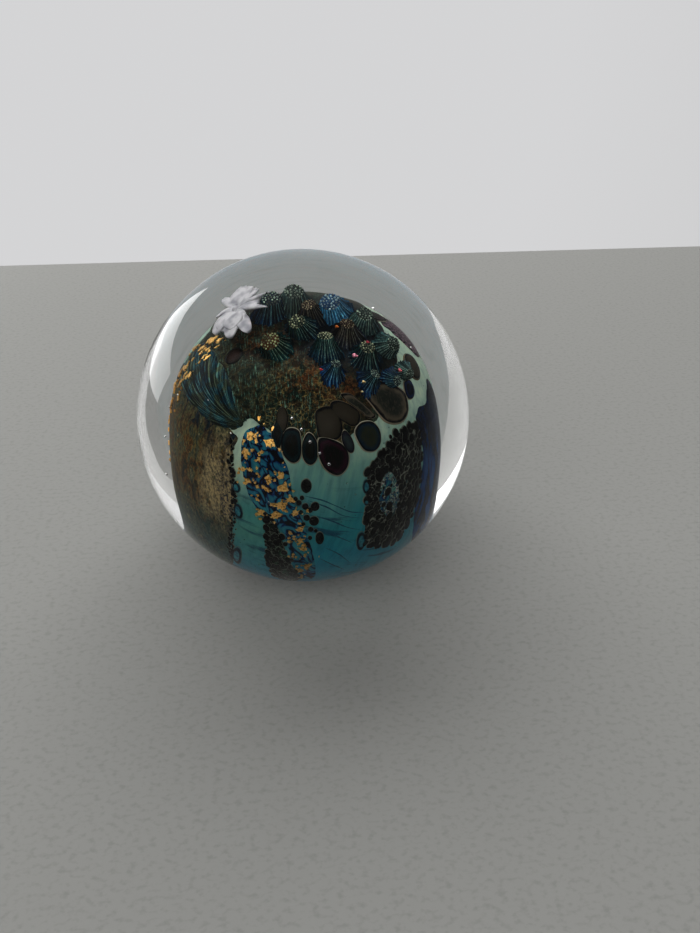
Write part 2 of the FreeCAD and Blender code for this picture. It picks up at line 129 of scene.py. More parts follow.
def oval(centre, half_length, half_width, lean, around=40):
    """A flat oval loop whose long axis leans `lean` degrees to the right of upright."""
    tilt = math.radians(90 - lean)
    along = Vector((math.cos(tilt), math.sin(tilt)))
    across = Vector((-along.y, along.x))
    angles = (math.tau * k / around for k in range(around))
    return [
        Vector(centre) + along * half_length * math.cos(angle) + across * half_width * math.sin(angle)
        for angle in angles
    ]


def middle_of(loop):
    return sum(loop, Vector((0, 0))) / len(loop)


def grown(loop, factor):
    """A loop enlarged about its middle."""
    middle = middle_of(loop)
    return [middle + (point - middle) * factor for point in loop]


def ragged(loop, amount, grain, seed):
    """A loop whose edge wanders in and out by about `amount`, with features `grain` long."""
    middle = middle_of(loop)
    result = []
    for point in loop:
        wander = noise.noise(Vector((point.x / grain, point.y / grain, seed)))
        result.append(point + (point - middle).normalized() * amount * wander * 2)
    return result


def inside(loop, x, y):
    """Whether a flat point is inside a loop."""
    hit = False
    for i, corner in enumerate(loop):
        last = loop[i - 1]
        if (corner.y > y) != (last.y > y):
            cross = (last.x - corner.x) * (y - corner.y) / (last.y - corner.y) + corner.x
            hit ^= x < cross
    return hit


def filled(loop, step):
    """A loop filled with triangles about `step` wide: its flat points and their faces."""
    left, right = min(point.x for point in loop), max(point.x for point in loop)
    low, high = min(point.y for point in loop), max(point.y for point in loop)
    spots = list(loop)
    for row in range(1, int((high - low) / step) + 1):
        for column in range(1, int((right - left) / step) + 1):
            x = left + (column - 0.5 * (row % 2)) * step
            y = low + row * step
            if inside(loop, x, y):
                spots.append(Vector((x, y)))
    ring = [(i, (i + 1) % len(loop)) for i in range(len(loop))]
    points, _, faces, *_ = delaunay_2d_cdt(spots, ring, [], 1, 1e-5)
    return points, faces


def scattered(loop, spacing, seed, tries=4000):
    """Points inside a loop, none nearer to another than `spacing`."""
    chance = random.Random(seed)
    xs = [point.x for point in loop]
    ys = [point.y for point in loop]
    kept = []
    for _ in range(tries):
        spot = Vector((chance.uniform(min(xs), max(xs)), chance.uniform(min(ys), max(ys))))
        if inside(loop, *spot) and all((spot - other).length > spacing for other in kept):
            kept.append(spot)
    return kept


def level_ring(radius, z, around):
    """Points evenly round a level circle about the paperweight's axis."""
    angles = (math.tau * k / around for k in range(around))
    return [Vector((radius * math.cos(angle), radius * math.sin(angle), z)) for angle in angles]


# ---- meshes and pieces

def bridge(build, ring, other):
    """Join two rings of vertices with quads; gives the new faces in order."""
    after = ring[1:] + ring[:1]
    other_after = other[1:] + other[:1]
    return [build.faces.new(corners) for corners in zip(ring, after, other_after, other)]


def close_to_tip(build, ring, tip):
    """Close a ring of vertices with triangles that meet at a tip; gives the new faces."""
    return [build.faces.new((tip, *pair)) for pair in zip(ring, ring[1:] + ring[:1])]


def add_ball(build, spot, radius, subdivisions):
    """Add a small sphere; gives its faces."""
    made = bmesh.ops.create_icosphere(
        build, subdivisions=subdivisions, radius=radius, matrix=Matrix.Translation(spot))
    return {face for vert in made["verts"] for face in vert.link_faces}


def finish_piece(name, build, material, smooth=True):
    """Turn a bmesh in millimetres into a closed piece that rides on the paperweight."""
    bmesh.ops.scale(build, vec=(MM, MM, MM), verts=build.verts)
    bmesh.ops.recalc_face_normals(build, faces=build.faces)
    for face in build.faces:
        face.smooth = smooth
    mesh = bpy.data.meshes.new(name)
    build.to_mesh(mesh)
    build.free()
    piece = bpy.data.objects.new(name, mesh)
    bpy.context.scene.collection.objects.link(piece)
    mesh.materials.append(material)
    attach(piece, "root")
    return piece


def shell(build, loop, place, step, lift, sink):
    """Add a closed sheet of glass over a loop, from `sink` under the core's surface to `lift`."""
    points, faces = filled(loop, step)
    top = [build.verts.new(place(point.x, point.y, lift)) for point in points]
    bottom = [build.verts.new(place(point.x, point.y, -sink)) for point in points]
    sides = {}
    for face in faces:
        build.faces.new([top[i] for i in face])
        build.faces.new([bottom[i] for i in reversed(face)])
        sides.update(dict.fromkeys(zip(face, face[1:] + face[:1])))
    for start, end in sides:
        if (end, start) not in sides:
            build.faces.new((top[start], bottom[start], bottom[end], top[end]))


def sheet(name, outline, place, material, lift, ragged_by=0.25, grain=1.6):
    """One patch of coloured glass with a smooth outline and a slightly wandering edge."""
    loop = ragged(smooth_loop(outline), ragged_by, grain, seed=len(name))
    build = bmesh.new()
    shell(build, loop, place, step=0.7, lift=lift, sink=0.4)
    return finish_piece(name, build, material)


def cushion(build, loop, place, lift, sink, rings=10):
    """Add a closed pillow of glass over a flat loop; its `rim` runs from 0 in the middle to 1."""
    rim = build.verts.layers.float.get("rim") or build.verts.layers.float.new("rim")
    centre = middle_of(loop)

    def vertex(flat, height, share):
        vert = build.verts.new(place(flat.x, flat.y, height))
        vert[rim] = share
        return vert

    def ring(share, height):
        return [vertex(centre + (point - centre) * share, height, share) for point in loop]

    shares = [i / rings for i in range(1, rings + 1)]
    loops = [ring(share, lift * math.sqrt(1 - share**4)) for share in shares]
    loops.append(ring(0.97, -sink))
    for inner, outer in zip(loops, loops[1:]):
        bridge(build, inner, outer)
    close_to_tip(build, loops[0], vertex(centre, lift, 0.0))
    build.faces.new(list(reversed(loops[-1])))


def drop(name, outline, place, material, lift=0.3):
    """One oval drop of glass as a piece; its outline is what `oval` takes."""
    build = bmesh.new()
    cushion(build, oval(*outline), place, lift, sink=0.3)
    return finish_piece(name, build, material)


# ---- material helpers

# Glass lying in glass mirrors next to nothing.
GLOSS_INSIDE = 0.06


class Nodes:
    """Short words for the nodes of one tree."""

    def __init__(self, tree):
        self.tree = tree

    def feed(self, target, value):
        """Link a socket to another, or give it a plain value."""
        if isinstance(value, bpy.types.NodeSocket):
            self.tree.links.new(value, target)
        else:
            target.default_value = value

    def node(self, kind, inputs=None, **settings):
        """A new node with its settings and with its inputs fed."""
        made = self.tree.nodes.new(kind)
        for key, value in settings.items():
            setattr(made, key, value)
        for socket, value in (inputs or {}).items():
            self.feed(made.inputs[socket], value)
        return made

    def ramp(self, value, *stops):
        """Colours along a value, as (position, (r, g, b)) in turn."""
        made = self.node("ShaderNodeValToRGB", {"Fac": value})
        elements = made.color_ramp.elements
        while len(elements) < len(stops):
            elements.new(0.5)
        for element, (position, colour) in zip(elements, stops):
            element.position = position
            element.color = (*colour, 1.0)
        return made.outputs["Color"]


class Shader(Nodes):
    """A Principled material whose colour is built from textures measured in millimetres."""

    def __init__(self, name, roughness=0.35, metallic=0.0):
        self.material = bpy.data.materials.new(name)
        self.material.use_nodes = True
        super().__init__(self.material.node_tree)
        self.surface = self.tree.nodes["Principled BSDF"]
        self.surface.inputs["Roughness"].default_value = roughness
        self.surface.inputs["Metallic"].default_value = metallic
        self.surface.inputs["Specular IOR Level"].default_value = GLOSS_INSIDE
        metres = self.node("ShaderNodeTexCoord").outputs["Object"]
        scaled = self.node("ShaderNodeVectorMath", {0: metres}, operation="SCALE")
        scaled.inputs["Scale"].default_value = 1 / MM
        self.place = scaled.outputs["Vector"]

    # Numbers

    def math(self, operation, a, b=0.0, clamp=False):
        return self.node("ShaderNodeMath", {0: a, 1: b}, operation=operation, use_clamp=clamp).outputs[0]

    def times(self, product, *factors):
        """The product of sockets and numbers."""
        for factor in factors:
            product = self.math("MULTIPLY", product, factor)
        return product

    def plus(self, total, *parts):
        """The sum of sockets and numbers."""
        for part in parts:
            total = self.math("ADD", total, part)
        return total

    def band(self, value, none, full):
        """0 up to `none` and 1 from `full` on, smooth between; `full` may be the smaller one."""
        return self.node(
            "ShaderNodeMapRange", {"Value": value, "From Min": none, "From Max": full},
            interpolation_type="SMOOTHSTEP").outputs["Result"]

    def attribute(self, name, output="Fac"):
        return self.node("ShaderNodeAttribute", attribute_name=name).outputs[output]

    # Places

    def axis(self, letter):
        """One coordinate in millimetres."""
        return self.node("ShaderNodeSeparateXYZ", {0: self.place}).outputs[letter]

    def height(self, none, full):
        """0 at one height and 1 at another."""
        return self.band(self.axis("Z"), none, full)

    def near(self, x, y, z, radius, strength=1.0):
        """`strength`, but no more than 1, at a point, fading to 0 at `radius` from it."""
        gap = self.node("ShaderNodeVectorMath", {0: self.place, 1: (x, y, z)}, operation="DISTANCE")
        fade = self.math("SUBTRACT", 1.0, self.math("DIVIDE", gap.outputs["Value"], radius), clamp=True)
        return self.math("MULTIPLY", fade, strength, clamp=True)

    def fan(self, turn, height):
        """Coordinates that make lines meet at a point of the core's side.

        The first is degrees swept round the point, the second a little of the way sideways.
        """
        turned = self.math("ARCTAN2", self.axis("X"), self.times(self.axis("Y"), -1.0))
        along = self.plus(self.times(turned, CORE_RADIUS), -turn * ARC_PER_DEGREE)
        swept = self.math("ARCTAN2", self.plus(self.axis("Z"), -height), along)
        spread = self.node("ShaderNodeCombineXYZ", {
            "X": self.math("DEGREES", swept), "Y": self.times(along, 0.1),
        })
        return spread.outputs["Vector"]

    # Textures.  A grain's size is in millimetres: one number, or one for each axis.

    def stretched(self, size, turn=(0, 0, 0), source=None):
        """Coordinates divided by a grain's size and turned by degrees."""
        return self.node("ShaderNodeMapping", {
            "Vector": source or self.place,
            "Scale": size if isinstance(size, tuple) else (size, size, size),
            "Rotation": [math.radians(angle) for angle in turn],
        }, vector_type="TEXTURE").outputs["Vector"]

    def noise(self, size, detail=4.0, roughness=0.55, distortion=0.0, **where):
        """Cloudy grey noise about 0.5."""
        return self.node("ShaderNodeTexNoise", {
            "Vector": self.stretched(size, **where), "Scale": 1.0,
            "Detail": detail, "Roughness": roughness, "Distortion": distortion,
        }).outputs["Fac"]

    def patchy(self, size, none, full, **settings):
        """Noise cut to patches of 0 and 1 with soft edges."""
        return self.band(self.noise(size, **settings), none, full)

    def cells(self, size, output="Distance", feature="F1"):
        """The distance to the middle of a cell, or the cell's own colour."""
        return self.node(
            "ShaderNodeTexVoronoi", {"Vector": self.stretched(size), "Scale": 1.0},
            feature=feature).outputs[output]

    def net(self, size, none, full):
        """Lines along the edges between cells: 0 from `none` away and 1 within `full`, in cells."""
        return self.band(self.cells(size, feature="DISTANCE_TO_EDGE"), none, full)

    # Colours

    def mix(self, share, one, other, blend="MIX"):
        """Two colours mixed; the share is kept between 0 and 1."""
        def with_alpha(colour):
            return colour if isinstance(colour, bpy.types.NodeSocket) else (*colour, 1.0)

        made = self.node("ShaderNodeMix", data_type="RGBA", blend_type=blend)
        self.feed(made.inputs["Factor"], share)
        self.feed(made.inputs["A"], with_alpha(one))
        self.feed(made.inputs["B"], with_alpha(other))
        return made.outputs["Result"]

    def cover(self, base, colour, *shares):
        """A base covered by a colour, as far as the product of the shares says."""
        return self.mix(self.times(*shares), base, colour)

    def toned(self, base, value, *stops):
        """A base multiplied by the colours of a ramp."""
        return self.mix(1.0, base, self.ramp(value, *stops), "MULTIPLY")

    def paint(self, colour):
        """Give the surface its colour; gives the finished material."""
        self.feed(self.surface.inputs["Base Color"], colour)
        return self.material


# ---- materials

def teal_ground():
    """Teal overlay: deep at the foot, sage by the shoulders, drawn into soft inky streaks."""
    shade = Shader("teal_ground", roughness=0.3)
    drift = shade.noise((11, 11, 16), detail=2)
    level = shade.plus(shade.axis("Z"), shade.times(shade.axis("X"), 0.16), shade.times(drift, 9.0))
    base = shade.ramp(
        shade.math("DIVIDE", level, 60.0),
        (0.1, (0.014, 0.23, 0.38)), (0.3, (0.02, 0.235, 0.32)), (0.52, (0.028, 0.22, 0.24)),
        (0.68, (0.19, 0.35, 0.3)), (0.8, (0.42, 0.54, 0.44)),
    )
    base = shade.cover(base, (0.42, 0.53, 0.42), shade.near(-11.8, -15.2, 39, 12, strength=1.6))
    base = shade.cover(base, (0.09, 0.27, 0.235), shade.near(-10.5, -16.5, 23, 13, strength=1.1))
    inky = shade.patchy((9, 9, 1.5), 0.55, 0.7, detail=5, distortion=0.7, turn=(0, 16, 0))
    base = shade.cover(base, (0.006, 0.05, 0.1), inky, shade.height(34, 28), 0.75)
    streaks = shade.noise((0.9, 0.9, 9), detail=6, turn=(0, 14, 0))
    base = shade.toned(
        base, streaks, (0.3, (0.72, 0.76, 0.8)), (0.52, (1, 1, 1)), (0.72, (1.2, 1.12, 1.02)))
    specks = shade.band(shade.cells(1.6), 0.1, 0.05)
    return shade.paint(shade.cover(base, (0.02, 0.05, 0.05), specks))


def khaki():
    """Khaki panel: olive and rust smears round a sandy patch, a lichen grain, inky edges."""
    shade = Shader("khaki", roughness=0.35)
    smears = shade.noise((2.6, 2.6, 5), detail=8, roughness=0.65, distortion=0.8, turn=(5, 8, 0))
    base = shade.ramp(
        smears,
        (0.34, (0.003, 0.007, 0.01)), (0.43, (0.024, 0.025, 0.01)), (0.48, (0.11, 0.05, 0.01)),
        (0.53, (0.12, 0.105, 0.038)), (0.59, (0.022, 0.042, 0.034)), (0.67, (0.2, 0.175, 0.09)),
    )
    sand = shade.plus(shade.near(-13.0, -15.6, 34, 8), shade.near(-14.0, -14.8, 27, 8))
    torn = shade.patchy((2.2, 2.2, 3.4), 0.36, 0.5, detail=7, roughness=0.65)
    base = shade.cover(base, (0.26, 0.215, 0.125), sand, torn, 2.2)
    base = shade.cover(base, (0.03, 0.075, 0.07), shade.height(27, 17), shade.band(smears, 0.66, 0.48), 0.9)
    base = shade.cover(
        base, (0.006, 0.022, 0.034), shade.height(35, 41), shade.band(smears, 0.6, 0.42), 0.9)
    grain = shade.noise((0.42, 0.42, 0.6), detail=6, roughness=0.7)
    base = shade.toned(base, grain, (0.36, (0.25, 0.27, 0.3)), (0.5, (1, 1, 1)), (0.62, (1.7, 1.6, 1.35)))
    fringe = shade.patchy((0.5, 0.5, 0.6), 0.5, 0.42, detail=2)
    edge = shade.band(shade.plus(shade.axis("X"), shade.times(smears, 2.0)), -15.0, -13.2)
    return shade.paint(shade.cover(
        base, (0.003, 0.012, 0.035), fringe, shade.near(-12.5, -16.2, 28, 13), edge))


def striped_band():
    """Inky glass on the shoulder, combed into fine blue and teal lines that meet at the sage tip."""
    shade = Shader("striped_band", roughness=0.3)
    lines = shade.noise((0.9, 1, 1), detail=5, roughness=0.7, source=shade.fan(-34, 42.6))
    blue = shade.ramp(
        lines,
        (0.42, (0.001, 0.004, 0.008)), (0.49, (0.003, 0.022, 0.036)), (0.55, (0.015, 0.1, 0.125)),
        (0.61, (0.16, 0.3, 0.24)),
    )
    olive = shade.ramp(
        lines, (0.44, (0.002, 0.005, 0.005)), (0.52, (0.012, 0.022, 0.014)), (0.6, (0.12, 0.16, 0.1)))
    return shade.paint(shade.mix(shade.patchy((2.4, 2.4, 1.6), 0.44, 0.56), blue, olive))


def landscape():
    """Mottled landscape: dark olive and rust glass, a fine golden net and green hairs in front, and painted
    shade under the canes.
    """
    shade = Shader("landscape", roughness=0.35)
    blotches = shade.noise((2.4, 3.0, 2.4), detail=7, roughness=0.65, distortion=0.7)
    base = shade.ramp(
        blotches,
        (0.36, (0.002, 0.006, 0.005)), (0.45, (0.01, 0.018, 0.011)), (0.51, (0.035, 0.026, 0.011)),
        (0.57, (0.022, 0.034, 0.024)), (0.64, (0.05, 0.07, 0.05)),
    )
    veins = shade.noise((1.2, 1.6, 1.2), detail=6, roughness=0.65, distortion=1.2)
    rust = shade.plus(
        shade.near(1.5, -9.5, 48, 8), shade.near(-6.5, -1, 51, 6),
        shade.near(7.5, -12.0, 46, 5.5, strength=0.6))
    base = shade.cover(base, (0.11, 0.04, 0.011), rust, shade.band(veins, 0.44, 0.56))
    green = shade.near(-3, -17, 45, 9)
    base = shade.cover(base, (0.002, 0.012, 0.008), green, shade.band(veins, 0.56, 0.44), 1.5)
    front = shade.near(0, -16, 46, 11, strength=1.6)
    net = shade.net((0.75, 0.95, 0.75), 0.09, 0.01)
    base = shade.cover(base, (0.22, 0.16, 0.06), net, front, shade.band(blotches, 0.4, 0.52), 0.7)
    hairs = shade.patchy((0.17, 3.2, 0.8), 0.56, 0.66, detail=3, distortion=0.2)
    base = shade.cover(base, (0.08, 0.16, 0.13), hairs, shade.band(shade.axis("X"), 7, 1), 0.8)
    pools = shade.cells((1.1, 1.4, 1.1))
    base = shade.toned(base, pools, (0.14, (0.3, 0.36, 0.34)), (0.42, (1.15, 1.15, 1.15)))
    grain = shade.noise(0.4, detail=6, roughness=0.7)
    base = shade.toned(
        base, grain, (0.38, (0.35, 0.4, 0.4)), (0.5, (1.05, 1.05, 1.0)), (0.62, (1.9, 1.9, 1.6)))
    base = shade.cover(base, (0.014, 0.007, 0.003), shade.band(shade.cells(3.4), 0.24, 0.17), 0.75)
    # Painted shade: near-black blue darkens the crown under the cluster of canes, standing in for the
    # shadow they cast.
    return shade.paint(shade.cover(base, (0.004, 0.01, 0.016), shade.near(8, 1, 52, 13, strength=2.0)))


def navy():
    """Navy band: upright streaks of ink and cobalt, speckled near the top, with painted light brightening
    its lower part.
    """
    shade = Shader("navy", roughness=0.25)
    streaks = shade.noise((1.6, 1.6, 9), detail=3, distortion=0.4)
    # Painted light: this height mask mixes the band to a brighter cobalt, with brighter streaks, towards
    # its bottom.
    low = shade.height(37, 25)
    blue = shade.mix(low, (0.0005, 0.014, 0.05), (0.001, 0.055, 0.19))
    specks = shade.times(shade.patchy((0.6, 0.6, 0.9), 0.5, 0.56, detail=3), shade.height(27, 35))
    ink = shade.math("MAXIMUM", shade.band(streaks, 0.56, 0.44), specks)
    base = shade.cover(blue, (0.0005, 0.002, 0.008), ink, 0.9)
    return shade.paint(shade.cover(base, (0.005, 0.11, 0.26), shade.band(streaks, 0.58, 0.7), low, 0.6))


def plum():
    """Plum streak: pale and dark purple hairlines side by side."""
    shade = Shader("plum", roughness=0.3)
    return shade.paint(shade.ramp(
        shade.noise((0.3, 5, 0.5), turn=(0, 0, -35)),
        (0.38, (0.006, 0.006, 0.012)), (0.5, (0.05, 0.03, 0.045)), (0.58, (0.26, 0.17, 0.2)),
        (0.68, (0.03, 0.05, 0.07)),
    ))


def frit_bed():
    """Black frit: uneven dark cells in a broken grey-green net."""
    shade = Shader("frit_bed", roughness=0.3)
    cell = (1.15, 1.15, 1.5)
    base = shade.ramp(
        shade.cells(cell, output="Color"),
        (0.0, (0.0008, 0.001, 0.0015)), (0.6, (0.002, 0.003, 0.003)), (0.85, (0.004, 0.012, 0.012)),
        (0.98, (0.01, 0.05, 0.055)),
    )
    fades = shade.noise((1.4, 1.4, 1.8))
    net = shade.times(shade.net(cell, 0.07, 0.035), shade.band(fades, 0.46, 0.55))
    crumbs = shade.times(shade.net((0.5, 0.5, 0.65), 0.12, 0.02), shade.band(fades, 0.5, 0.42), 0.3)
    return shade.paint(shade.cover(base, (0.24, 0.26, 0.21), shade.math("MAXIMUM", net, crumbs), 0.75))


def mosaic():
    """Crushed murrine: teal, blue and black curls with pale edges."""
    shade = Shader("mosaic", roughness=0.3)
    chips = shade.ramp(
        shade.noise((1.9, 1.9, 2.3), detail=3, distortion=2.0),
        (0.32, (0.02, 0.17, 0.2)), (0.4, (0.003, 0.03, 0.1)), (0.44, (0.001, 0.002, 0.005)),
        (0.465, (0.5, 0.56, 0.42)), (0.49, (0.03, 0.17, 0.18)), (0.52, (0.003, 0.03, 0.1)),
        (0.56, (0.001, 0.002, 0.005)), (0.6, (0.46, 0.46, 0.4)), (0.64, (0.03, 0.2, 0.17)),
    )
    grit = shade.band(shade.cells(0.9), 0.26, 0.2)
    return shade.paint(shade.cover(chips, (0.001, 0.003, 0.006), grit, 0.8))


def swirls():
    """Islands of teal glass in black and cobalt swirls, under the gold leaf."""
    shade = Shader("swirls", roughness=0.25)
    flow = shade.noise((2.8, 2.8, 4.6), detail=1.5, distortion=1.6, turn=(0, -28, 0))
    wisps = shade.noise((0.5, 0.5, 2.6), detail=3, turn=(0, -28, 0))
    return shade.paint(shade.ramp(
        shade.plus(flow, shade.times(wisps, 0.12), -0.06),
        (0.36, (0.03, 0.21, 0.27)), (0.44, (0.016, 0.13, 0.2)), (0.465, (0.003, 0.03, 0.12)),
        (0.485, (0.001, 0.002, 0.006)), (0.535, (0.0015, 0.003, 0.008)), (0.555, (0.003, 0.03, 0.13)),
        (0.58, (0.02, 0.15, 0.21)), (0.68, (0.05, 0.23, 0.25)),
    ))


def green_frit():
    """Dark green frit with black grains."""
    shade = Shader("green_frit", roughness=0.3)
    base = shade.ramp(
        shade.noise((1.5, 1.5, 3.0), detail=3),
        (0.42, (0.001, 0.002, 0.002)), (0.54, (0.003, 0.012, 0.007)), (0.66, (0.02, 0.07, 0.035)))
    fades = shade.patchy((1.2, 1.2, 1.6), 0.42, 0.56, detail=3)
    net = shade.net((1.0, 1.0, 1.25), 0.1, 0.03)
    return shade.paint(shade.cover(base, (0.15, 0.18, 0.14), net, fades, 0.8))


def lobe_glass(name, heart, body, rim_colour, outline):
    """A dark drop: mottled heart, softer streaked body, coloured rim and a thin pale outline."""
    shade = Shader(name, roughness=0.18)
    rim = shade.attribute("rim")
    mottled = shade.plus(rim, shade.times(shade.noise(1.2), 0.3), -0.15)
    base = shade.ramp(
        mottled, (0.0, heart), (0.5, body), (0.74, rim_colour), (0.84, (0.002, 0.003, 0.005)))
    streaks = shade.patchy((0.35, 0.35, 3.5), 0.5, 0.66, detail=3)
    base = shade.cover(base, rim_colour, streaks, shade.band(rim, 0.84, 0.7), 0.3)
    return shade.paint(shade.cover(base, outline, shade.band(rim, 0.895, 0.93)))


def ringed_glass():
    """A ringed drop: teal inside a dark ring, with a faint light edge."""
    shade = Shader("ringed", roughness=0.18)
    rim = shade.attribute("rim")
    pool = shade.ramp(
        shade.noise(0.6, detail=3), (0.35, (0.015, 0.09, 0.14)), (0.6, (0.04, 0.22, 0.24)))
    base = shade.cover(
        pool, (0.003, 0.012, 0.022), shade.band(rim, 0.5, 0.68), shade.band(rim, 0.95, 0.86))
    return shade.paint(shade.cover(base, (0.13, 0.2, 0.16), shade.band(rim, 0.92, 0.98)))


def bead_glass(outline_from=0.88):
    """Black grains with a thin pale outline."""
    shade = Shader("bead_black", roughness=0.15)
    black = shade.ramp(
        shade.noise(0.4, detail=2), (0.4, (0.0005, 0.0008, 0.001)), (0.7, (0.003, 0.004, 0.004)))
    outline = shade.band(shade.attribute("rim"), outline_from, outline_from + 0.06)
    return shade.paint(shade.cover(black, (0.17, 0.19, 0.15), outline))


def thread_glass():
    """Dark blue threads."""
    shade = Shader("thread_blue", roughness=0.3)
    return shade.paint(shade.ramp(
        shade.noise(0.6, detail=3), (0.35, (0.006, 0.045, 0.09)), (0.65, (0.02, 0.11, 0.15))))


def gold():
    """Torn gold leaf: warm metal, crinkled and thin in places."""
    shade = Shader("gold_leaf", roughness=0.38, metallic=1.0)
    crinkle = shade.noise(0.35, detail=5)
    bump = shade.node("ShaderNodeBump", {"Strength": 0.35, "Distance": 0.1 * MM, "Height": crinkle})
    shade.feed(shade.surface.inputs["Normal"], bump.outputs["Normal"])
    return shade.paint(shade.ramp(
        crinkle, (0.34, (0.3, 0.14, 0.03)), (0.46, (0.85, 0.5, 0.15)), (0.62, (1.0, 0.72, 0.3))))


def rod_glass():
    """Cane rods: each face keeps its own rod's colour, broken up by a fine grain."""
    shade = Shader("cane_rods", roughness=0.25)
    grain = shade.noise((0.25, 0.25, 1.0), detail=5, roughness=0.65)
    return shade.paint(shade.toned(
        shade.attribute("tint", "Color"), grain,
        (0.34, (0.45, 0.5, 0.55)), (0.5, (1.3, 1.3, 1.3)), (0.64, (2.4, 2.4, 2.2))))


def white_glass():
    """White lampworked glass with faint grey folds."""
    shade = Shader("white_glass", roughness=0.3)
    return shade.paint(shade.ramp(
        shade.noise((1.4, 1.4, 2.4), detail=1), (0.3, (0.36, 0.36, 0.39)), (0.6, (0.63, 0.625, 0.64))))


def bright_bead(name, colour):
    """A tiny bead of shiny dichroic glass, clouded with a darker tone of its colour."""
    shade = Shader(name, roughness=0.12, metallic=0.6)
    darker = tuple(0.35 * channel for channel in colour)
    return shade.paint(shade.ramp(shade.noise(0.3, detail=2), (0.35, darker), (0.6, colour)))


def clear_glass():
    """Clear crystal."""
    shade = Shader("clear_glass", roughness=0.0)
    shade.surface.inputs["Transmission Weight"].default_value = 1.0
    shade.surface.inputs["IOR"].default_value = 1.5
    shade.surface.inputs["Specular IOR Level"].default_value = 0.5
    return shade.paint((1.0, 1.0, 1.0, 1.0))


# ---- the core and its skin

# Patches on the core's side: CAD node, look, slot, lift and outline as (turn, height).
SIDE_SHEETS = (
    ("khaki_panel", khaki, "khaki_glass", 0.06, [
        (-40, 41.0), (-39, 37.5), (-38, 31.0), (-40, 25.0), (-46, 19.5), (-54, 13.0),
        (-80, 10.5), (-106, 13.0), (-118, 22.0), (-120, 33.0), (-108, 41.0), (-75, 42.6),
    ]),
    ("striated_band", striped_band, "striated_glass", 0.12, [
        (-36, 43.0), (-50, 41.0), (-75, 41.0), (-104, 40.5), (-110, 45.0), (-88, 47.2), (-58, 46.8),
    ]),
    ("navy_band", navy, "navy_glass", 0.06, [
        (68, 38.5), (82, 38.0), (98, 38.5), (103, 30.0), (98, 19.0), (86, 12.5), (73, 14.0),
        (64, 19.0), (64, 24.0), (68, 31.0),
    ]),
    ("plum_streak", plum, "plum_glass", 0.08, [
        (104, 43.6), (110, 46.2), (124, 47.0), (126, 44.0), (114, 41.0), (105, 41.2),
    ]),
    ("frit_patch", frit_bed, "black_frit", 0.1, [
        (29.5, 19.0), (28.5, 26.0), (30, 34.0), (38, 36.4), (47, 38.0), (60, 38.0), (67, 35.5),
        (64, 26.0), (61, 20.5), (52, 16.6), (40, 17.0),
    ]),
    ("mosaic_heart", mosaic, "mosaic_glass", 0.14, [
        (36, 26.0), (37, 31.0), (42, 32.4), (47, 29.5), (48, 25.0), (42, 23.4),
    ]),
    ("swirl_stripe", swirls, "swirl_glass", 0.08, [
        (-34, 41.0), (-26, 43.2), (-17, 41.6), (-10, 37.0), (-7, 30.5), (-3, 25.0), (1, 17.0),
        (1, 11.5), (-6, 11.0), (-11, 17.0), (-14, 23.5), (-24, 27.0), (-31, 33.0),
    ]),
    ("frit_stripe", green_frit, "green_frit", 0.1, [
        (-21, 27.4), (-16, 24.0), (-13, 17.0), (-9, 11.0), (-17, 9.4), (-26, 11.5), (-24, 20.0),
    ]),
)

# The landscape's outline in plan.
LANDSCAPE_OUTLINE = [
    (-12.6, -13.4), (-9.4, -14.6), (-6.6, -16.6), (-3.9, -18.5), (0.4, -19.1), (4.4, -18.7),
    (7.4, -17.3), (9.6, -15.8), (11.8, -13.9), (14.4, -8.4), (15.4, -4.0), (14.8, 0.4), (12.4, 5.4),
    (8.6, 12.0), (-3.0, 15.6), (-13.0, 10.5), (-16.8, 2.0), (-16.4, -6.0),
]


def make_core():
    """The core's closed outside, in the teal of its overlay."""
    build = bmesh.new()
    rows, around = 72, 128
    rings = []
    for row in range(1, rows):
        tilt = math.pi * (row / rows - 0.5)
        power, rise = (RISE_POWER, CORE_RISE) if tilt > 0 else (DROP_POWER, CORE_DROP)
        reach = CORE_RADIUS * abs(math.cos(tilt)) ** (2 / power)
        z = CORE_MIDDLE + math.copysign(rise * abs(math.sin(tilt)) ** (2 / power), tilt)
        rings.append([build.verts.new(spot) for spot in level_ring(reach, z, around)])
    for lower, upper in zip(rings, rings[1:]):
        bridge(build, lower, upper)
    close_to_tip(build, rings[0], build.verts.new((0, 0, CORE_MIDDLE - CORE_DROP)))
    close_to_tip(build, rings[-1], build.verts.new((0, 0, CORE_MIDDLE + CORE_RISE)))
    piece = finish_piece("core_overlay", build, teal_ground())
    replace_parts(piece, "dark_core", "teal_ground")


def make_sheets():
    """Every patch of coloured glass laid on the core."""
    for name, look, slot, lift, outline in SIDE_SHEETS:
        piece = sheet(name + "_glass", unrolled(outline), side_place, look(), lift)
        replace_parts(piece, name)
    piece = sheet(
        "landscape_cap_glass", LANDSCAPE_OUTLINE, crown_place, landscape(),
        lift=0.1, ragged_by=0.5, grain=2.6)
    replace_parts(piece, "landscape_cap")


# ---- drops, grains and threads

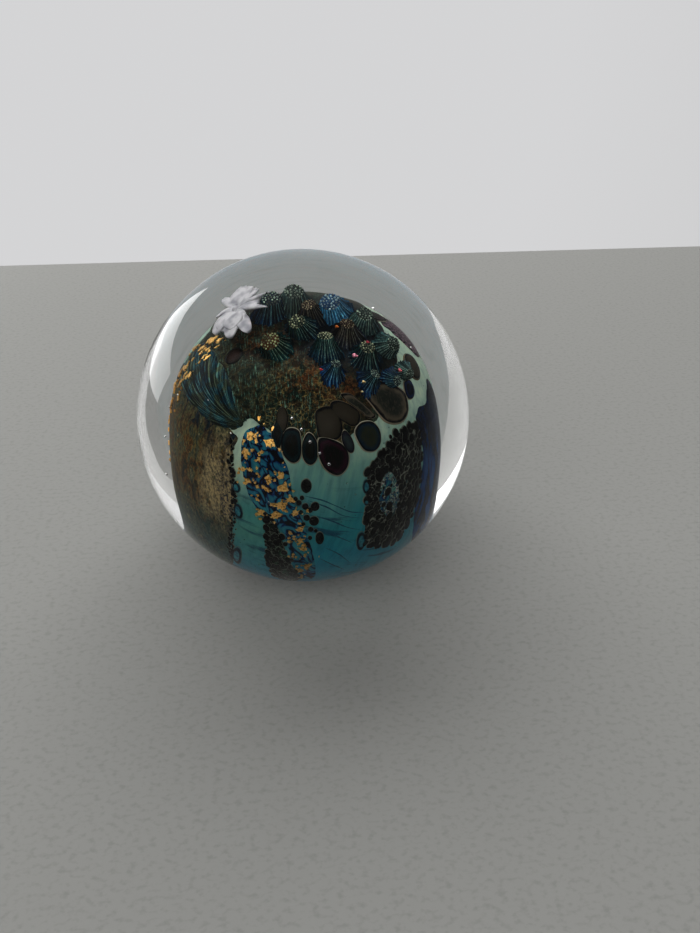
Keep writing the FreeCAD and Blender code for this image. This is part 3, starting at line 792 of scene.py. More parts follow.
# Dark drops round the landscape's edge: CAD node, look, slot, lift and outline as (turn, height).
SIDE_LOBES = (
    ("lobe_mauve", "green", "olive_lobe_glass", 0.3, [
        (-16.8, 44.2), (-18.6, 42.6), (-17.6, 41.4), (-14.4, 40.2), (-12.8, 41.5), (-12.4, 42.9),
        (-14.1, 44.2),
    ]),
    ("lobe_dark_green_left", "green", "lobe_glass", 0.38, [
        (-8.0, 43.4), (-11.5, 42.9), (-13.2, 41.5), (-12.5, 39.7), (-9.8, 38.5), (-7.0, 38.0),
        (-4.3, 38.5), (-3.0, 39.8), (-2.9, 41.6), (-4.0, 43.0),
    ]),
    ("lobe_dark_green_right", "green", "lobe_glass", 0.38, [
        (0.4, 42.6), (-2.2, 41.2), (-2.4, 39.1), (-0.6, 37.9), (2.0, 37.6), (4.4, 38.4), (5.1, 39.7),
        (5.2, 41.2), (3.2, 42.4),
    ]),
    ("lobe_plum", "plum", "plum_lobe_glass", 0.45, [
        (5.6, 40.4), (5.8, 38.8), (8.0, 36.8), (12.0, 35.4), (15.5, 35.1), (19.0, 36.1), (20.5, 37.6),
        (20.3, 39.0), (18.0, 40.3), (13.5, 41.3), (9.0, 41.8), (6.3, 41.6),
    ]),
    ("lobe_grey", "grey", "olive_lobe_glass", 0.34, [
        (19.2, 42.0), (18.4, 40.9), (19.5, 39.5), (21.5, 38.6), (23.4, 38.6), (24.4, 39.6),
        (23.6, 41.0), (21.4, 42.2),
    ]),
    ("lobe_bottle_green", "bottle", "lobe_glass", 0.42, [
        (26.2, 41.2), (28.0, 42.2), (32.0, 42.6), (37.0, 42.2), (39.5, 41.2), (40.2, 39.9),
        (38.8, 38.4), (35.5, 37.6), (31.6, 37.8), (28.4, 38.8),
    ]),
    ("lobe_umber", "umber", "olive_lobe_glass", 0.26, [
        (15.5, 45.2), (17.0, 46.2), (22.8, 46.2), (28.7, 45.3), (32.0, 44.2), (31.4, 43.2),
        (28.9, 42.5), (25.0, 42.6), (21.9, 43.4), (18.5, 44.2),
    ]),
    ("lobe_umber", "umber", "olive_lobe_glass", 0.24, [
        (6.4, 45.4), (13.0, 45.9), (19.0, 45.4), (20.4, 43.8), (19.4, 42.0), (16.0, 41.2),
        (11.0, 41.2), (6.8, 41.8), (5.8, 43.6),
    ]),
    ("lobe_olive", "olive", "olive_lobe_glass", 0.22, [
        (25.0, 46.8), (31.4, 46.6), (35.7, 45.4), (39.0, 44.0), (41.0, 42.8), (39.6, 42.5),
        (36.5, 42.8), (32.8, 44.2), (29.0, 45.4),
    ]),
    ("lobe_teardrop", "olive", "olive_lobe_glass", 0.42, [
        (40.8, 45.8), (42.2, 43.9), (44.0, 42.4), (46.5, 41.1), (51.0, 40.1), (56.6, 39.6),
        (62.0, 40.1), (65.5, 41.4), (67.0, 42.9), (62.5, 44.8), (55.7, 46.2), (47.0, 46.8),
    ]),
    ("lobe_navy", "navy", "navy_glass", 0.32, [
        (72.5, 43.6), (68.4, 42.8), (67.6, 41.6), (72.0, 41.0), (76.5, 41.6), (78.0, 43.0),
    ]),
)
# The lobes melted outwards until they nearly touch: each outline is grown by this factor.
LOBE_SWELL = 1.1

# The drops' glasses: material, then heart, body, rim and outline colours.
PALE_OUTLINE = (0.36, 0.34, 0.26)
NEAR_BLACK = (0.003, 0.004, 0.003)
LOBE_LOOKS = {
    "green": ("lobe_green", (0.008, 0.009, 0.003), NEAR_BLACK, (0.003, 0.022, 0.026), PALE_OUTLINE),
    "bottle": (
        "lobe_bottle_green", (0.024, 0.03, 0.014), (0.026, 0.032, 0.017), (0.004, 0.022, 0.04),
        PALE_OUTLINE),
    "plum": ("lobe_plum_black", (0.004, 0.004, 0.002), NEAR_BLACK, (0.03, 0.004, 0.014), PALE_OUTLINE),
    "umber": (
        "lobe_umber_black", (0.05, 0.042, 0.028), (0.04, 0.034, 0.023), (0.035, 0.03, 0.018),
        (0.14, 0.11, 0.065)),
    "olive": (
        "lobe_olive_black", (0.012, 0.016, 0.012), (0.028, 0.032, 0.024), (0.12, 0.1, 0.07),
        (0.3, 0.25, 0.18)),
    "grey": (
        "lobe_blue_grey", (0.035, 0.05, 0.05), (0.025, 0.035, 0.038), (0.01, 0.01, 0.02), PALE_OUTLINE),
    "navy": ("lobe_navy_blue", (0.004, 0.012, 0.03), NEAR_BLACK, (0.004, 0.02, 0.07), PALE_OUTLINE),
    "brown": (
        "lobe_brown", (0.022, 0.006, 0.002), (0.018, 0.006, 0.002), (0.012, 0.008, 0.004),
        (0.02, 0.02, 0.012)),
}


def make_lobes():
    """Dark drops round the edge of the landscape."""
    looks = {name: lobe_glass(*colours) for name, colours in LOBE_LOOKS.items()}
    builds = {}
    for name, look, slot, lift, outline in SIDE_LOBES:
        build, _, _ = builds.setdefault(name, (bmesh.new(), look, slot))
        loop = grown(smooth_loop(unrolled(outline)), LOBE_SWELL)
        cushion(build, loop, side_place, lift, sink=0.3)
    for name, (build, look, slot) in builds.items():
        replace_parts(finish_piece(name + "_drop", build, looks[look]), name)

    # Drops on the crown: middle in plan, half length, half width and lean.
    slot = "olive_lobe_glass"
    shoulder = ((17.6, 0.0), 2.5, 1.25, 0)
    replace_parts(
        drop("lobe_right_shoulder_drop", shoulder, crown_place, looks["umber"], lift=0.34),
        "lobe_right_shoulder")
    spot = ((-11.1, -3.2), 1.9, 1.6, 0)
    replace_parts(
        drop("spot_brown_drop", spot, crown_place, looks["brown"], lift=0.2), "spot_brown")
    drop("lobe_back_shoulder_drop", ((11.0, 7.6), 2.7, 1.7, 50), crown_place, looks["plum"])
    drop("lobe_mauve_upper_drop", ((-3.9, -16.2), 1.5, 1.1, 0), crown_place, looks["umber"])


def make_rings_and_dots():
    """Ringed drops beside the khaki and frit patches, and black dots on the teal."""
    ringed = (ringed_glass(), "ring_glass")
    black = (bead_glass(), "black_glass")
    for name, (look, slot), place, half_length, half_width, lean in (
        ("ring_left_upper", ringed, (-36.0, 31.6), 1.1, 0.8, 0),
        ("ring_left", ringed, (-36.0, 26.8), 1.7, 0.9, 0),
        ("ring_left_low", ringed, (-45.5, 15.8), 3.0, 1.0, 35),
        ("ring_right_upper", ringed, (28.3, 31.4), 1.5, 0.7, 0),
        ("ring_right", ringed, (28.2, 28.4), 0.9, 0.5, 0),
        ("ring_right_low", ringed, (26.8, 19.6), 2.4, 1.0, -8),
        ("dot_upper", black, (-1.2, 33.6), 1.5, 0.95, 0),
        ("dot_lower", black, (4.2, 22.2), 1.6, 0.8, 0),
        ("dot_in_frit", black, (36.0, 32.8), 1.4, 1.0, 0),
    ):
        outline = (unrolled([place])[0], half_length, half_width, lean)
        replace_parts(drop(name + "_drop", outline, side_place, look), name)


# The strip of small grains down the khaki panel's right edge, as (turn, height).
KHAKI_FRINGE = [
    (-40, 40.0), (-37.6, 36.0), (-36.6, 31.0), (-38, 25.6), (-43, 19.6), (-49, 15.0), (-50, 16.4),
    (-44, 21.0), (-40, 26.0), (-38.6, 31.0), (-39.4, 36.0),
]
# Half widths of the grains, in spacings, and the share of them left out over the mosaic heart.
GRAIN_SIZES = (0.25, 0.35, 0.45, 0.6, 0.85)
BARE_HEART_SHARE = 0.6


def make_grains():
    """Black grains melted into the frit patches and down the khaki's edge, with a beaded edge."""
    black = bead_glass(outline_from=0.83)
    beds = {name: smooth_loop(unrolled(outline)) for name, _, _, _, outline in SIDE_SHEETS}
    beds["khaki_fringe"] = smooth_loop(unrolled(KHAKI_FRINGE))
    for name, slot, spacing in (
        ("frit_patch", "black_frit", 0.95),
        ("frit_stripe", "green_frit", 0.8),
        ("khaki_fringe", "black_glass", 0.5),
    ):
        chance = random.Random(len(name))
        build = bmesh.new()
        edge = [
            spot + Vector((chance.gauss(0, 0.3), chance.gauss(0, 0.3))) * spacing
            for spot in beds[name][::2]
        ]
        for spot in scattered(beds[name], spacing, seed=3) + edge:
            if inside(beds["mosaic_heart"], *spot) and chance.random() < BARE_HEART_SHARE:
                continue
            size = spacing * chance.choice(GRAIN_SIZES)
            lean = chance.uniform(-25, 25)
            loop = oval(spot, size * chance.uniform(1.0, 1.4), size, lean, around=16)
            cushion(build, loop, side_place, lift=0.3, sink=0.2, rings=5)
        finish_piece(name + "_grains", build, black)


def make_grain_trail():
    """A loose run of black grains down the right side of the swirls, as (turn, height, size)."""
    build = bmesh.new()
    for turn, height, size in (
        (-6.5, 31.0, 0.4), (-5.0, 30.2, 0.5), (-3.4, 31.2, 0.4), (-2.0, 29.4, 0.6), (0.2, 28.6, 0.5),
        (2.6, 29.3, 0.8), (-4.2, 28.2, 0.4), (-1.6, 27.0, 0.6), (1.8, 26.2, 0.9), (-3.4, 25.6, 0.4),
        (0.0, 24.4, 0.5), (2.4, 24.0, 0.35), (-0.6, 22.4, 0.4),
    ):
        loop = oval(unrolled([(turn, height)])[0], size * 1.25, size, lean=0, around=20)
        cushion(build, loop, side_place, lift=0.26, sink=0.2, rings=6)
    finish_piece("grain_trail", build, bead_glass())


def make_threads():
    """Fine dark blue threads trailed across the teal, each through a few (turn, height) points."""
    trails = (
        ((-1, 31.5), (6, 30.4), (13, 28.8), (20, 27.0), (26, 26.2)),
        ((0, 30.6), (8, 28.9), (16, 26.6), (24, 25.2)),
        ((4, 27.2), (11, 25.6), (19, 23.6), (25, 22.4)),
        ((6, 24.0), (13, 22.0), (21, 19.6)),
        ((8, 19.6), (15, 17.4), (22, 14.4)),
        ((5, 17.0), (12, 14.8), (20, 12.6)),
    )
    half_width = 0.1
    point_length = Vector((0.3, 0))
    build = bmesh.new()
    for trail in trails:
        first, *between, last = (Vector(point) for point in unrolled(trail))
        upper = [
            point + Vector((0, half_width + 0.08 * math.sin(i * 2.1)))
            for i, point in enumerate(between, start=1)
        ]
        lower = [point - Vector((0, half_width)) for point in reversed(between)]
        loop = smooth_loop([first - point_length, *upper, last + point_length, *lower], steps=6)
        shell(build, loop, side_place, step=0.5, lift=0.03, sink=0.2)
    finish_piece("trailed_threads", build, thread_glass())


# ---- gold leaf

# Torn leaf down the stripe, on the left shoulder and along the left rim: piece, CAD nodes that it
# stands for, spread, smallest and largest flake, seed, and the clusters' middles as (turn, height,
# share of the largest flake).
LEAF = (
    ("gold_flakes_top", ["gold_leaf_top"], 0.9, (0.3, 0.95), 5, [
        (-30, 41.4, 0.7), (-26, 42.2, 1.0), (-20, 41.0, 0.9), (-16, 39.8, 1.2), (-31, 38.6, 0.8),
        (-26, 38.4, 1.4), (-32, 35.6, 0.6), (-25, 35.8, 0.8), (-19, 34.8, 0.8),
    ]),
    ("gold_flakes_middle", ["gold_leaf_middle", "gold_leaf_lower"], 0.9, (0.3, 0.95), 8, [
        (-13, 35.6, 1.0), (-30, 33.6, 0.7), (-21, 32.8, 0.7), (-12, 33.2, 1.3), (-9, 30.8, 1.0),
        (-25, 30.2, 0.5), (-14, 29.6, 1.3), (-7, 28.0, 0.9), (-24, 27.6, 0.8), (-17, 27.2, 1.3),
    ]),
    ("gold_flakes_foot", ["gold_leaf_foot"], 0.8, (0.25, 0.85), 13, [
        (-5, 24.6, 1.1), (-10, 23.6, 0.6), (-5.5, 22.0, 0.9), (-11, 21.6, 0.6), (-5, 19.8, 0.9),
        (-10, 18.4, 0.5), (-4, 17.6, 1.2), (-3, 15.2, 1.1), (-8.5, 14.0, 1.2), (-8, 11.6, 0.8),
    ]),
    ("gold_flakes_shoulder", ["gold_leaf_shoulder"], 0.9, (0.15, 1.15), 21, [
        (-111, 43.4, 0.8), (-104, 45.2, 0.6), (-99, 46.0, 0.8), (-106, 46.6, 0.9), (-103, 47.6, 1.1),
        (-97, 47.9, 0.9), (-94, 46.4, 0.5),
    ]),
    ("gold_flakes_rim", ["gold_leaf_rim"], 0.9, (0.12, 0.95), 34, [
        (-102, 37.8, 0.8), (-104, 40.1, 0.9), (-101, 42.0, 0.9), (-91, 42.8, 0.6), (-90, 38.8, 0.7),
        (-99, 35.5, 0.7), (-96, 40.4, 0.6), (-105, 31.0, 0.4), (-104, 26.0, 0.3),
    ]),
)
CRUMBS_PER_CLUSTER = 5


def flake(build, spot, size, chance):
    """Add one torn flake of leaf: a jagged closed sheet lying just off the core."""
    corners = chance.randint(13, 21)
    slimmer = chance.uniform(0.55, 1.0)
    lean = chance.uniform(0, math.pi)
    loop = []
    for k in range(corners):
        angle = math.tau * (k + chance.uniform(-0.3, 0.3)) / corners
        reach = size * chance.uniform(0.45, 1.3)
        stretch = math.hypot(math.cos(angle - lean), slimmer * math.sin(angle - lean))
        loop.append(spot + reach * stretch * Vector((math.cos(angle), math.sin(angle))))
    shell(build, loop, side_place, step=0.4, lift=0.24, sink=0.1)


def make_gold():
    """Flakes of leaf strewn round the middles of their clusters, none far over another."""
    look = gold()
    for name, replaced, spread, (smallest, largest), seed, clusters in LEAF:
        chance = random.Random(seed)
        placed = []
        for turn, height, share in clusters:
            arc = turn * ARC_PER_DEGREE
            placed.append((Vector((arc, height)), largest * share))
            for _ in range(CRUMBS_PER_CLUSTER):
                spot = Vector((arc + chance.gauss(0, spread), height + chance.gauss(0, spread)))
                placed.append((spot, chance.uniform(smallest, largest) * 0.5))
        build = bmesh.new()
        kept = []
        for spot, size in placed:
            if all((spot - other).length > 0.75 * (size + space) for other, space in kept):
                kept.append((spot, size))
                flake(build, spot, size, chance)
        piece = finish_piece(name, build, look, smooth=False)
        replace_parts(piece, *replaced)


# ---- murrine canes

# Each look: slot, then skirt tip, skirt, pale thread, middle of the head and rod ends.
CANE_LOOKS = {
    "teal": (
        "cane_teal_glass", (0.007, 0.035, 0.065), (0.012, 0.045, 0.042), (0.2, 0.3, 0.25),
        (0.012, 0.024, 0.02), (0.34, 0.36, 0.25)),
    "khaki": (
        "cane_khaki_glass", (0.015, 0.08, 0.09), (0.015, 0.045, 0.035), (0.2, 0.27, 0.2),
        (0.06, 0.03, 0.012), (0.3, 0.34, 0.2)),
    "blue": (
        "cane_blue_glass", (0.006, 0.045, 0.125), (0.012, 0.04, 0.055), (0.13, 0.27, 0.27),
        (0.01, 0.02, 0.03), (0.26, 0.34, 0.28)),
    "bright": (
        "cane_blue_glass", (0.03, 0.2, 0.4), (0.05, 0.22, 0.36), (0.3, 0.55, 0.62),
        (0.02, 0.06, 0.12), (0.3, 0.4, 0.42)),
    "sage": (
        "cane_sage_glass", (0.04, 0.1, 0.11), (0.06, 0.11, 0.1), (0.3, 0.4, 0.34),
        (0.02, 0.035, 0.03), (0.24, 0.3, 0.25)),
    "russet": (
        "cane_russet_glass", (0.012, 0.022, 0.045), (0.045, 0.036, 0.028), (0.2, 0.22, 0.17),
        (0.02, 0.01, 0.008), (0.26, 0.23, 0.16)),
}
INK_BETWEEN_RODS = (0.002, 0.004, 0.005)

# Bundles of rods: the cane they belong to, look, foot in plan, skirt radius, head in plan, head
# radius and the head's height over the core.
BUNDLES = (
    ("cane_khaki", "khaki", (-4.2, -4.4), 3.0, (-4.8, -5.2), 1.65, 2.9),
    ("cane_middle", "teal", (0.2, -0.4), 3.1, (-0.6, -1.5), 1.4, 3.0),
    ("cane_middle_back", "russet", (1.9, 2.8), 3.2, (1.3, 2.2), 1.2, 3.5),
    ("cane_tall_back", "sage", (-1.0, 5.8), 3.4, (-0.8, 4.2), 1.6, 4.7),
    ("cane_back_left", "blue", (-4.8, 4.8), 3.0, (-4.1, 3.4), 1.6, 4.3),
    ("cane_bright_blue", "bright", (5.4, 4.2), 3.5, (4.4, 2.2), 1.7, 4.2),
    ("cane_teal_front", "teal", (3.9, -5.8), 3.0, (3.6, -4.8), 1.35, 3.1),
    ("cane_blue_front", "blue", (4.9, -9.8), 2.5, (5.1, -9.3), 0.9, 2.3),
    ("cane_russet", "russet", (7.2, -1.4), 3.2, (6.9, -1.7), 1.2, 3.3),
    ("cane_teal_right", "teal", (10.3, -5.4), 3.1, (9.8, -5.5), 1.35, 3.2),
    ("cane_blue_front_right", "blue", (10.8, -9.6), 2.6, (11.1, -9.0), 0.95, 2.3),
    ("cane_navy_right", "blue", (14.2, -6.8), 2.3, (14.5, -7.6), 0.95, 2.0),
    ("cane_sage_right", "sage", (13.4, -0.8), 2.9, (13.6, -2.2), 1.25, 2.9),
    ("cane_sage_right", "sage", (16.2, -3.2), 2.1, (16.4, -4.6), 0.9, 1.9),
    ("cane_sage_back", "sage", (9.5, 2.6), 2.9, (9.3, 1.2), 1.4, 3.7),
)
# How the rods of a bell vary: how many there are, how far each reaches, how bright it is and how
# much of the tip's colour runs up it.
RODS_IN_BELL = (22, 27)
ROD_REACH = (0.84, 1.16)
ROD_BRIGHTNESS = (0.35, 1.5)
TIP_SHARES = (0.0, 0.0, 0.2, 0.5)
COLUMNS_PER_ROD = 6
# Rings of rod ends on a head: how many, how far out and how high, in head radii.
ROD_END_RINGS = ((15, 0.9, 0.02), (11, 0.64, 0.12), (6, 0.34, 0.2), (1, 0.0, 0.24))


def blend(one, other, share):
    return tuple(a + (b - a) * share for a, b in zip(one, other))


def paint_face(face, layer, colour, brightness=1.0):
    for corner in face.loops:
        corner[layer] = (*(brightness * channel for channel in colour), 1.0)


def cane_bell(build, tint, foot, top, skirt, head, look, chance):
    """One bundle's bell of rods: a fluted skirt that drapes on the core and draws in to the head."""
    _, tip, body, thread, heart, rod_end = look
    rods = chance.randint(*RODS_IN_BELL)
    reaches = [chance.uniform(*ROD_REACH) for _ in range(rods)]
    columns = rods * COLUMNS_PER_ROD
    rows = 14
    axis = (top - foot).normalized()
    side_axis = axis.orthogonal().normalized()
    depth_axis = axis.cross(side_axis)

    def outward(angle):
        return side_axis * math.cos(angle) + depth_axis * math.sin(angle)

    rings = []
    for row in range(rows + 1):
        climb = row / rows
        ring = []
        for column in range(columns):
            angle = math.tau * column / columns
            flare = skirt * reaches[column // COLUMNS_PER_ROD] - head
            flute = 1 + (0.07 - 0.02 * climb) * math.cos(rods * angle)
            radius = (head + flare * (1 - climb) ** 1.5) * flute
            spot = foot.lerp(top, climb) + outward(angle) * radius
            if row < 2:
                spot = crown_place(spot.x, spot.y, lift=-0.25 if row == 0 else 0.16)
            ring.append(build.verts.new(spot))
        rings.append(ring)

    brightness = [chance.uniform(*ROD_BRIGHTNESS) for _ in range(rods)]
    tip_shares = [chance.choice(TIP_SHARES) for _ in range(rods)]
    for row, (lower, upper) in enumerate(zip(rings, rings[1:])):
        climb = row / rows
        for column, face in enumerate(bridge(build, lower, upper)):
            rod, part = divmod(column, COLUMNS_PER_ROD)
            colour = blend(blend(tip, body, min(1.0, climb * 1.8)), tip, tip_shares[rod])
            if part == COLUMNS_PER_ROD // 2:
                colour = blend(colour, thread, 0.5 + 0.35 * climb)
            elif part in (0, COLUMNS_PER_ROD - 1):
                colour = blend(colour, INK_BETWEEN_RODS, 0.6)
            paint_face(face, tint, colour, brightness[rod])
    paint_face(build.faces.new(list(reversed(rings[0]))), tint, body)
    for face in close_to_tip(build, rings[-1], build.verts.new(top + axis * 0.25 * head)):
        paint_face(face, tint, heart)

    for count, share, rise in ROD_END_RINGS:
        for k in range(count):
            angle = math.tau * (k + chance.uniform(-0.2, 0.2)) / count
            spot = top + outward(angle) * head * share + axis * rise * head
            radius = head * 0.12 * chance.uniform(0.6, 1.15)
            shine = chance.uniform(0.2, 1.2)
            for face in add_ball(build, spot, radius, subdivisions=2):
                paint_face(face, tint, rod_end, shine)


def make_canes():
    """The cluster of murrine canes on the crown."""
    rods = rod_glass()
    builds = {}
    for number, (name, look_name, foot, skirt, head_spot, head, height) in enumerate(BUNDLES):
        look = CANE_LOOKS[look_name]
        if name not in builds:
            build = bmesh.new()
            builds[name] = (build, build.loops.layers.float_color.new("tint"), look[0])
        build, tint, _ = builds[name]
        top = crown_place(*head_spot, lift=height)
        base = crown_place(*foot, lift=-0.2)
        cane_bell(build, tint, base, top, skirt, head, look, random.Random(100 + number))
    for name, (build, _, slot) in builds.items():
        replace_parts(finish_piece(name + "_rods", build, rods), name)


def make_glints():
    """Tiny bright beads between the canes, each with a smaller one melted to its right side."""
    for name, spot, lift, radius, colour in (
        ("bead_orange", (5.3, -3.0), 3.6, 0.26, (1.0, 0.32, 0.08)),
        ("bead_rose", (9.7, -4.8), 3.6, 0.26, (0.9, 0.16, 0.22)),
        ("bead_pink", (7.7, -8.0), 3.6, 0.42, (0.95, 0.45, 0.55)),
        ("bead_coral", (14.1, -6.9), 3.6, 0.32, (0.95, 0.3, 0.32)),
        ("bead_red", (2.7, -10.7), 2.6, 0.24, (0.8, 0.12, 0.12)),
        ("bead_amber", (8.8, -11.5), 3.6, 0.26, (0.95, 0.75, 0.4)),
        ("bead_yellow", (8.8, -12.5), 2.6, 0.2, (0.95, 0.85, 0.5)),
    ):
        build = bmesh.new()
        centre = crown_place(*spot, lift=lift)
        add_ball(build, centre, radius, subdivisions=3)
        add_ball(build, centre + radius * Vector((1.1, 0, -0.33)), radius * 0.5, subdivisions=3)
        finish_piece(name, build, bright_bead(name, colour))


# ---- flower

# Degrees that the flower leans outwards.
FLOWER_TILT = 30.0
# The fingers of each petal: bearing in the flower's plane, length, half width, lift and whether
# it is pointed.
PETALS = {
    "petal_front_left": (
        (240, 4.8, 2.8, -8, False), (208, 5.6, 1.6, -7, False), (160, 4.2, 0.8, 2, True)),
    "petal_front": ((250, 6.3, 1.5, -11, False),),
    "petal_front_right": ((282, 7.5, 1.2, -9, False), (262, 4.9, 2.2, -6, False)),
    "petal_right": ((4, 6.6, 0.5, 6, True), (-30, 6.6, 0.65, 0, True), (-8, 4.4, 1.3, 3, False)),
    "petal_back": (
        (34, 5.4, 1.2, 10, False), (50, 5.4, 1.3, 14, False), (66, 5.4, 1.3, 16, False),
        (82, 4.8, 1.0, 14, False)),
    "petal_back_left": ((112, 5.0, 0.8, 12, False),),
}
# The beads melted together at the flower's heart, as (x, y, radius).
HEART_BEADS = ((0, 0, 0.7), (0.7, 0.4, 0.35), (-0.6, 0.5, 0.35), (0.1, -0.7, 0.35))


def petal_finger(build, place, bearing, length, half_width, lift, pointed):
    """Add one closed finger of a petal: a flat tapering drop, folded along its middle."""
    rows, around = 18, 24
    swing = Matrix.Rotation(math.radians(bearing), 3, "Z") @ Matrix.Rotation(math.radians(-lift), 3, "Y")
    skew, fullness = (0.7, 0.9) if pointed else (1.3, 0.55)
    rings = []
    for row in range(1, rows):
        share = row / rows
        swell = math.sin(math.pi * share**skew) ** fullness
        wide = half_width * max(0.08, swell)
        thick = 0.42 * swell + 0.04
        droop = 0.7 * share - 1.3 * share**2
        ring = []
        for k in range(around):
            angle = math.tau * k / around
            fold = 0.18 * abs(math.cos(angle)) ** 1.5 * half_width
            height = thick * math.sin(angle) + fold + droop
            spot = Vector((length * share, wide * math.cos(angle), height))
            ring.append(build.verts.new(place @ (swing @ spot)))
        rings.append(ring)
    for inner, outer in zip(rings, rings[1:]):
        bridge(build, inner, outer)
    build.faces.new(list(reversed(rings[0])))
    build.faces.new(rings[-1])


def make_flower():
    """The white lampworked flower that floats off the core's left shoulder."""
    low, high = (Vector(corner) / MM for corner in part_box("flower_bead"))
    middle = (low + high) / 2
    tilt = Matrix.Rotation(math.radians(FLOWER_TILT), 4, Vector((-middle.y, middle.x, 0)))
    place = Matrix.Translation(middle) @ tilt
    white = white_glass()
    for name, fingers in PETALS.items():
        build = bmesh.new()
        for finger in fingers:
            petal_finger(build, place, *finger)
        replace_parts(finish_piece(name + "_white", build, white), name)
    build = bmesh.new()
    for x, y, radius in HEART_BEADS:
        add_ball(build, place @ Vector((x, y, 0.15)), radius, subdivisions=3)
    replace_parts(finish_piece("flower_heart", build, white), "flower_bead")


# ---- clear casing

# Bubbles caught just off the core, as (turn, height, lift, radius).
BUBBLES = (
    (-7.5, 44.6, 1.0, 0.28), (-2.4, 43.2, 1.0, 0.28), (1.6, 41.4, 1.0, 0.28), (6.0, 39.6, 1.0, 0.28),
    (10.0, 37.6, 1.0, 0.3), (-19.0, 30.4, 0.6, 0.16), (18.0, 33.4, 0.7, 0.14), (22.0, 30.8, 0.7, 0.13),
    (-86.0, 40.0, 1.0, 0.15), (-92.0, 36.5, 0.9, 0.15), (-95.0, 30.6, 0.8, 0.14),
    (-97.0, 24.0, 0.8, 0.16), (-96.0, 17.0, 0.8, 0.14), (96.0, 44.6, 1.4, 0.16),
    (-60.0, 43.6, 1.2, 0.14), (-40.0, 41.0, 0.8, 0.16), (150.0, 40.0, 1.2, 0.26),
    (172.0, 30.0, 1.0, 0.22), (128.0, 24.0, 1.2, 0.2), (-150.0, 36.0, 1.0, 0.24),
)
# Hand polishing leaves the ball a few hundredths of a millimetre uneven, and never proud.
UNEVEN_BY = 0.035
SUNK_BY = 0.02
WAVES_PER_MM = 0.09
WAVE_SHIFT = Vector((4.2, 1.3, 7.7))


def polished(spot):
    """A point of the ball, moved in or out by the unevenness there."""
    wave = noise.noise(spot * WAVES_PER_MM + WAVE_SHIFT)
    away = Vector((spot.x, spot.y, spot.z - BALL_MIDDLE)).normalized()
    return spot + away * (UNEVEN_BY * wave - SUNK_BY)


def make_casing():
    """The clear ball: ground foot, small bevel, and bubbles as little hollows in the glass."""
    build = bmesh.new()
    around, rows = 192, 120
    low = math.asin((FOOT_BEVEL - BALL_MIDDLE) / BALL_RADIUS)
    foot_radius = BALL_RADIUS * math.cos(low) - FOOT_BEVEL
    rings = [[build.verts.new(spot) for spot in level_ring(foot_radius, 0, around)]]
    for row in range(rows):
        tilt = low + (math.pi / 2 - low) * row / rows
        level = level_ring(BALL_RADIUS * math.cos(tilt), BALL_MIDDLE + BALL_RADIUS * math.sin(tilt), around)
        rings.append([build.verts.new(polished(spot)) for spot in level])
    for lower, upper in zip(rings, rings[1:]):
        bridge(build, lower, upper)
    build.faces.new(list(reversed(rings[0])))
    close_to_tip(build, rings[-1], build.verts.new((0, 0, BALL_MIDDLE + BALL_RADIUS - SUNK_BY)))
    piece = finish_piece("casing_ball", build, clear_glass())
    add_bubbles(piece)
    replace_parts(piece, "clear_casing")


def add_bubbles(piece):
    """Hollow the bubbles into the casing: small closed shells whose faces look inwards."""
    build = bmesh.new()
    build.from_mesh(piece.data)
    for turn, height, lift, radius in BUBBLES:
        spot = side_place(turn * ARC_PER_DEGREE, height, lift)
        faces = list(add_ball(build, spot * MM, radius * MM, subdivisions=3))
        bmesh.ops.reverse_faces(build, faces=faces)
        for face in faces:
            face.smooth = True
    build.to_mesh(piece.data)
    build.free()


# ---- stage, light and camera

# The camera: degrees above level, millimetres from the ball's middle, and the point that it looks
# at, from the ball's middle in ball radii.
VIEW_ELEVATION = 33.0
VIEW_DISTANCE = 4.2 * BALL_RADIUS
AIM = Vector((0.263, -0.18, -0.257))
LENS = 26.0
SENSOR = 36.0
EXPOSURE = 0.2

# The studio, in metres.
NEAR_CLIP = 0.005
TABLE_SIZE = (1.6, 1.0, 1.0)
TABLE_MIDDLE = (0, -0.3, 0)
SWEEP_DIRECTION = (-0.1, 0.92, -0.12)


def make_stage():
    """A pale table top with a faint speckle, ending some way behind the ball."""
    bpy.ops.mesh.primitive_plane_add(size=1.0)
    table = bpy.context.object
    table.name = "table_top"
    table.scale = TABLE_SIZE
    table.location = TABLE_MIDDLE
    shade = Shader("table_grey", roughness=0.6)
    speckle = shade.noise(0.9, detail=3)
    table.data.materials.append(shade.paint(
        shade.ramp(speckle, (0.3, (0.24, 0.24, 0.232)), (0.5, (0.27, 0.27, 0.26)))))


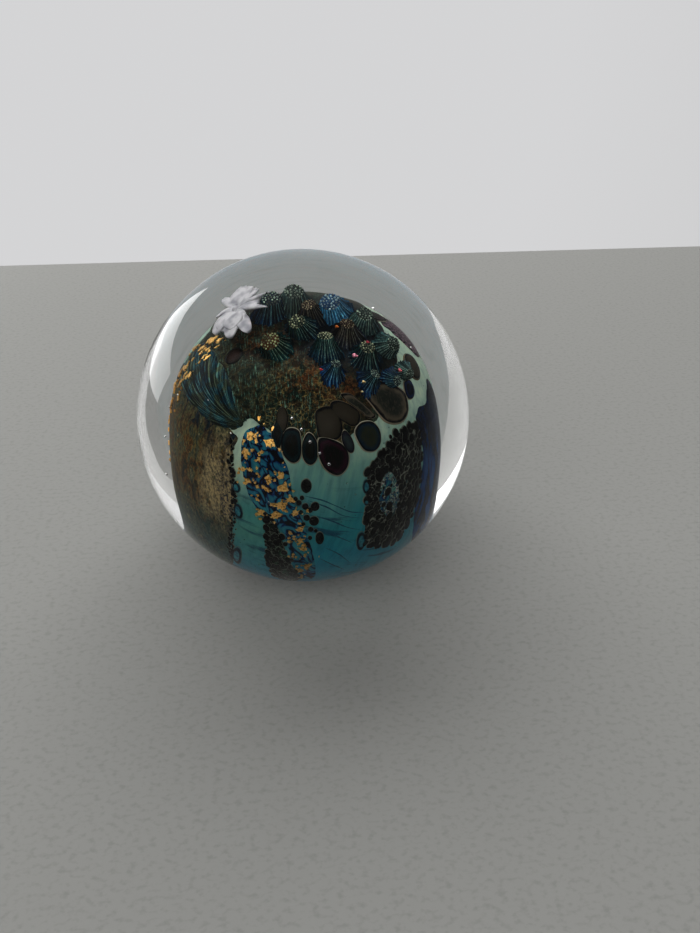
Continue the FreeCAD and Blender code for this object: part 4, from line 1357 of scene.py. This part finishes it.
def make_world():
    """A studio sweep: bright and low behind the ball, dimming overhead and towards the front."""
    world = bpy.data.worlds.new("studio")
    world.use_nodes = True
    sky = Nodes(world.node_tree)
    direction = sky.node("ShaderNodeTexCoord").outputs["Generated"]
    towards_sweep = sky.node(
        "ShaderNodeVectorMath", {0: direction, 1: SWEEP_DIRECTION}, operation="DOT_PRODUCT")
    share = sky.node("ShaderNodeMapRange", {"Value": towards_sweep.outputs["Value"], "From Min": -1.0})
    shades = sky.ramp(
        share.outputs["Result"],
        (0.0, (0.14, 0.14, 0.14)), (0.5, (0.17, 0.17, 0.17)), (0.72, (0.37, 0.37, 0.37)),
        (0.92, (0.43, 0.43, 0.435)),
    )
    sky.feed(sky.tree.nodes["Background"].inputs["Color"], shades)
    bpy.context.scene.world = world


def make_lights():
    """A window-like panel low on the left behind the ball, and wide diffusers above and in front.

    Each light: name, place and size in metres, power, and whether the glass mirrors it.
    """
    middle = Vector((0, 0, BALL_MIDDLE * MM))
    for name, place, size, power, mirrored in (
        ("window", (-0.52, 0.48, 0.05), (0.56, 0.24), 0.5, True),
        ("overhead", (-0.1, 0.7, 0.8), (1.6, 0.8), 9.0, False),
        ("front", (-0.3, -0.9, 0.9), (2.4, 1.2), 9.0, False),
    ):
        light = bpy.data.lights.new(name, "AREA")
        light.shape = "RECTANGLE"
        light.size, light.size_y = size
        light.energy = power
        lamp = bpy.data.objects.new(name, light)
        lamp.location = place
        lamp.rotation_euler = (middle - Vector(place)).to_track_quat("-Z", "Y").to_euler()
        lamp.visible_camera = False
        lamp.visible_glossy = mirrored
        bpy.context.scene.collection.objects.link(lamp)


def make_camera():
    """The photograph's view: from the front and above, with the ball left of and above centre."""
    camera = bpy.data.cameras.new("camera")
    camera.lens = LENS
    camera.sensor_width = SENSOR
    camera.sensor_height = SENSOR
    camera.clip_start = NEAR_CLIP
    view = bpy.data.objects.new("camera", camera)
    tilt = math.radians(VIEW_ELEVATION)
    middle = Vector((0, 0, BALL_MIDDLE))
    view.location = (middle + VIEW_DISTANCE * Vector((0, -math.cos(tilt), math.sin(tilt)))) * MM
    aim = (middle + BALL_RADIUS * AIM) * MM
    view.rotation_euler = (aim - view.location).to_track_quat("-Z", "Y").to_euler()
    bpy.context.scene.collection.objects.link(view)
    bpy.context.scene.camera = view


def main():
    make_core()
    make_sheets()
    make_lobes()
    make_rings_and_dots()
    make_grains()
    make_grain_trail()
    make_threads()
    make_gold()
    make_canes()
    make_flower()
    make_glints()
    make_casing()
    make_stage()
    make_world()
    make_lights()
    make_camera()
    bpy.context.scene.view_settings.view_transform = "Standard"
    bpy.context.scene.view_settings.look = "High Contrast"
    bpy.context.scene.view_settings.exposure = EXPOSURE


main()
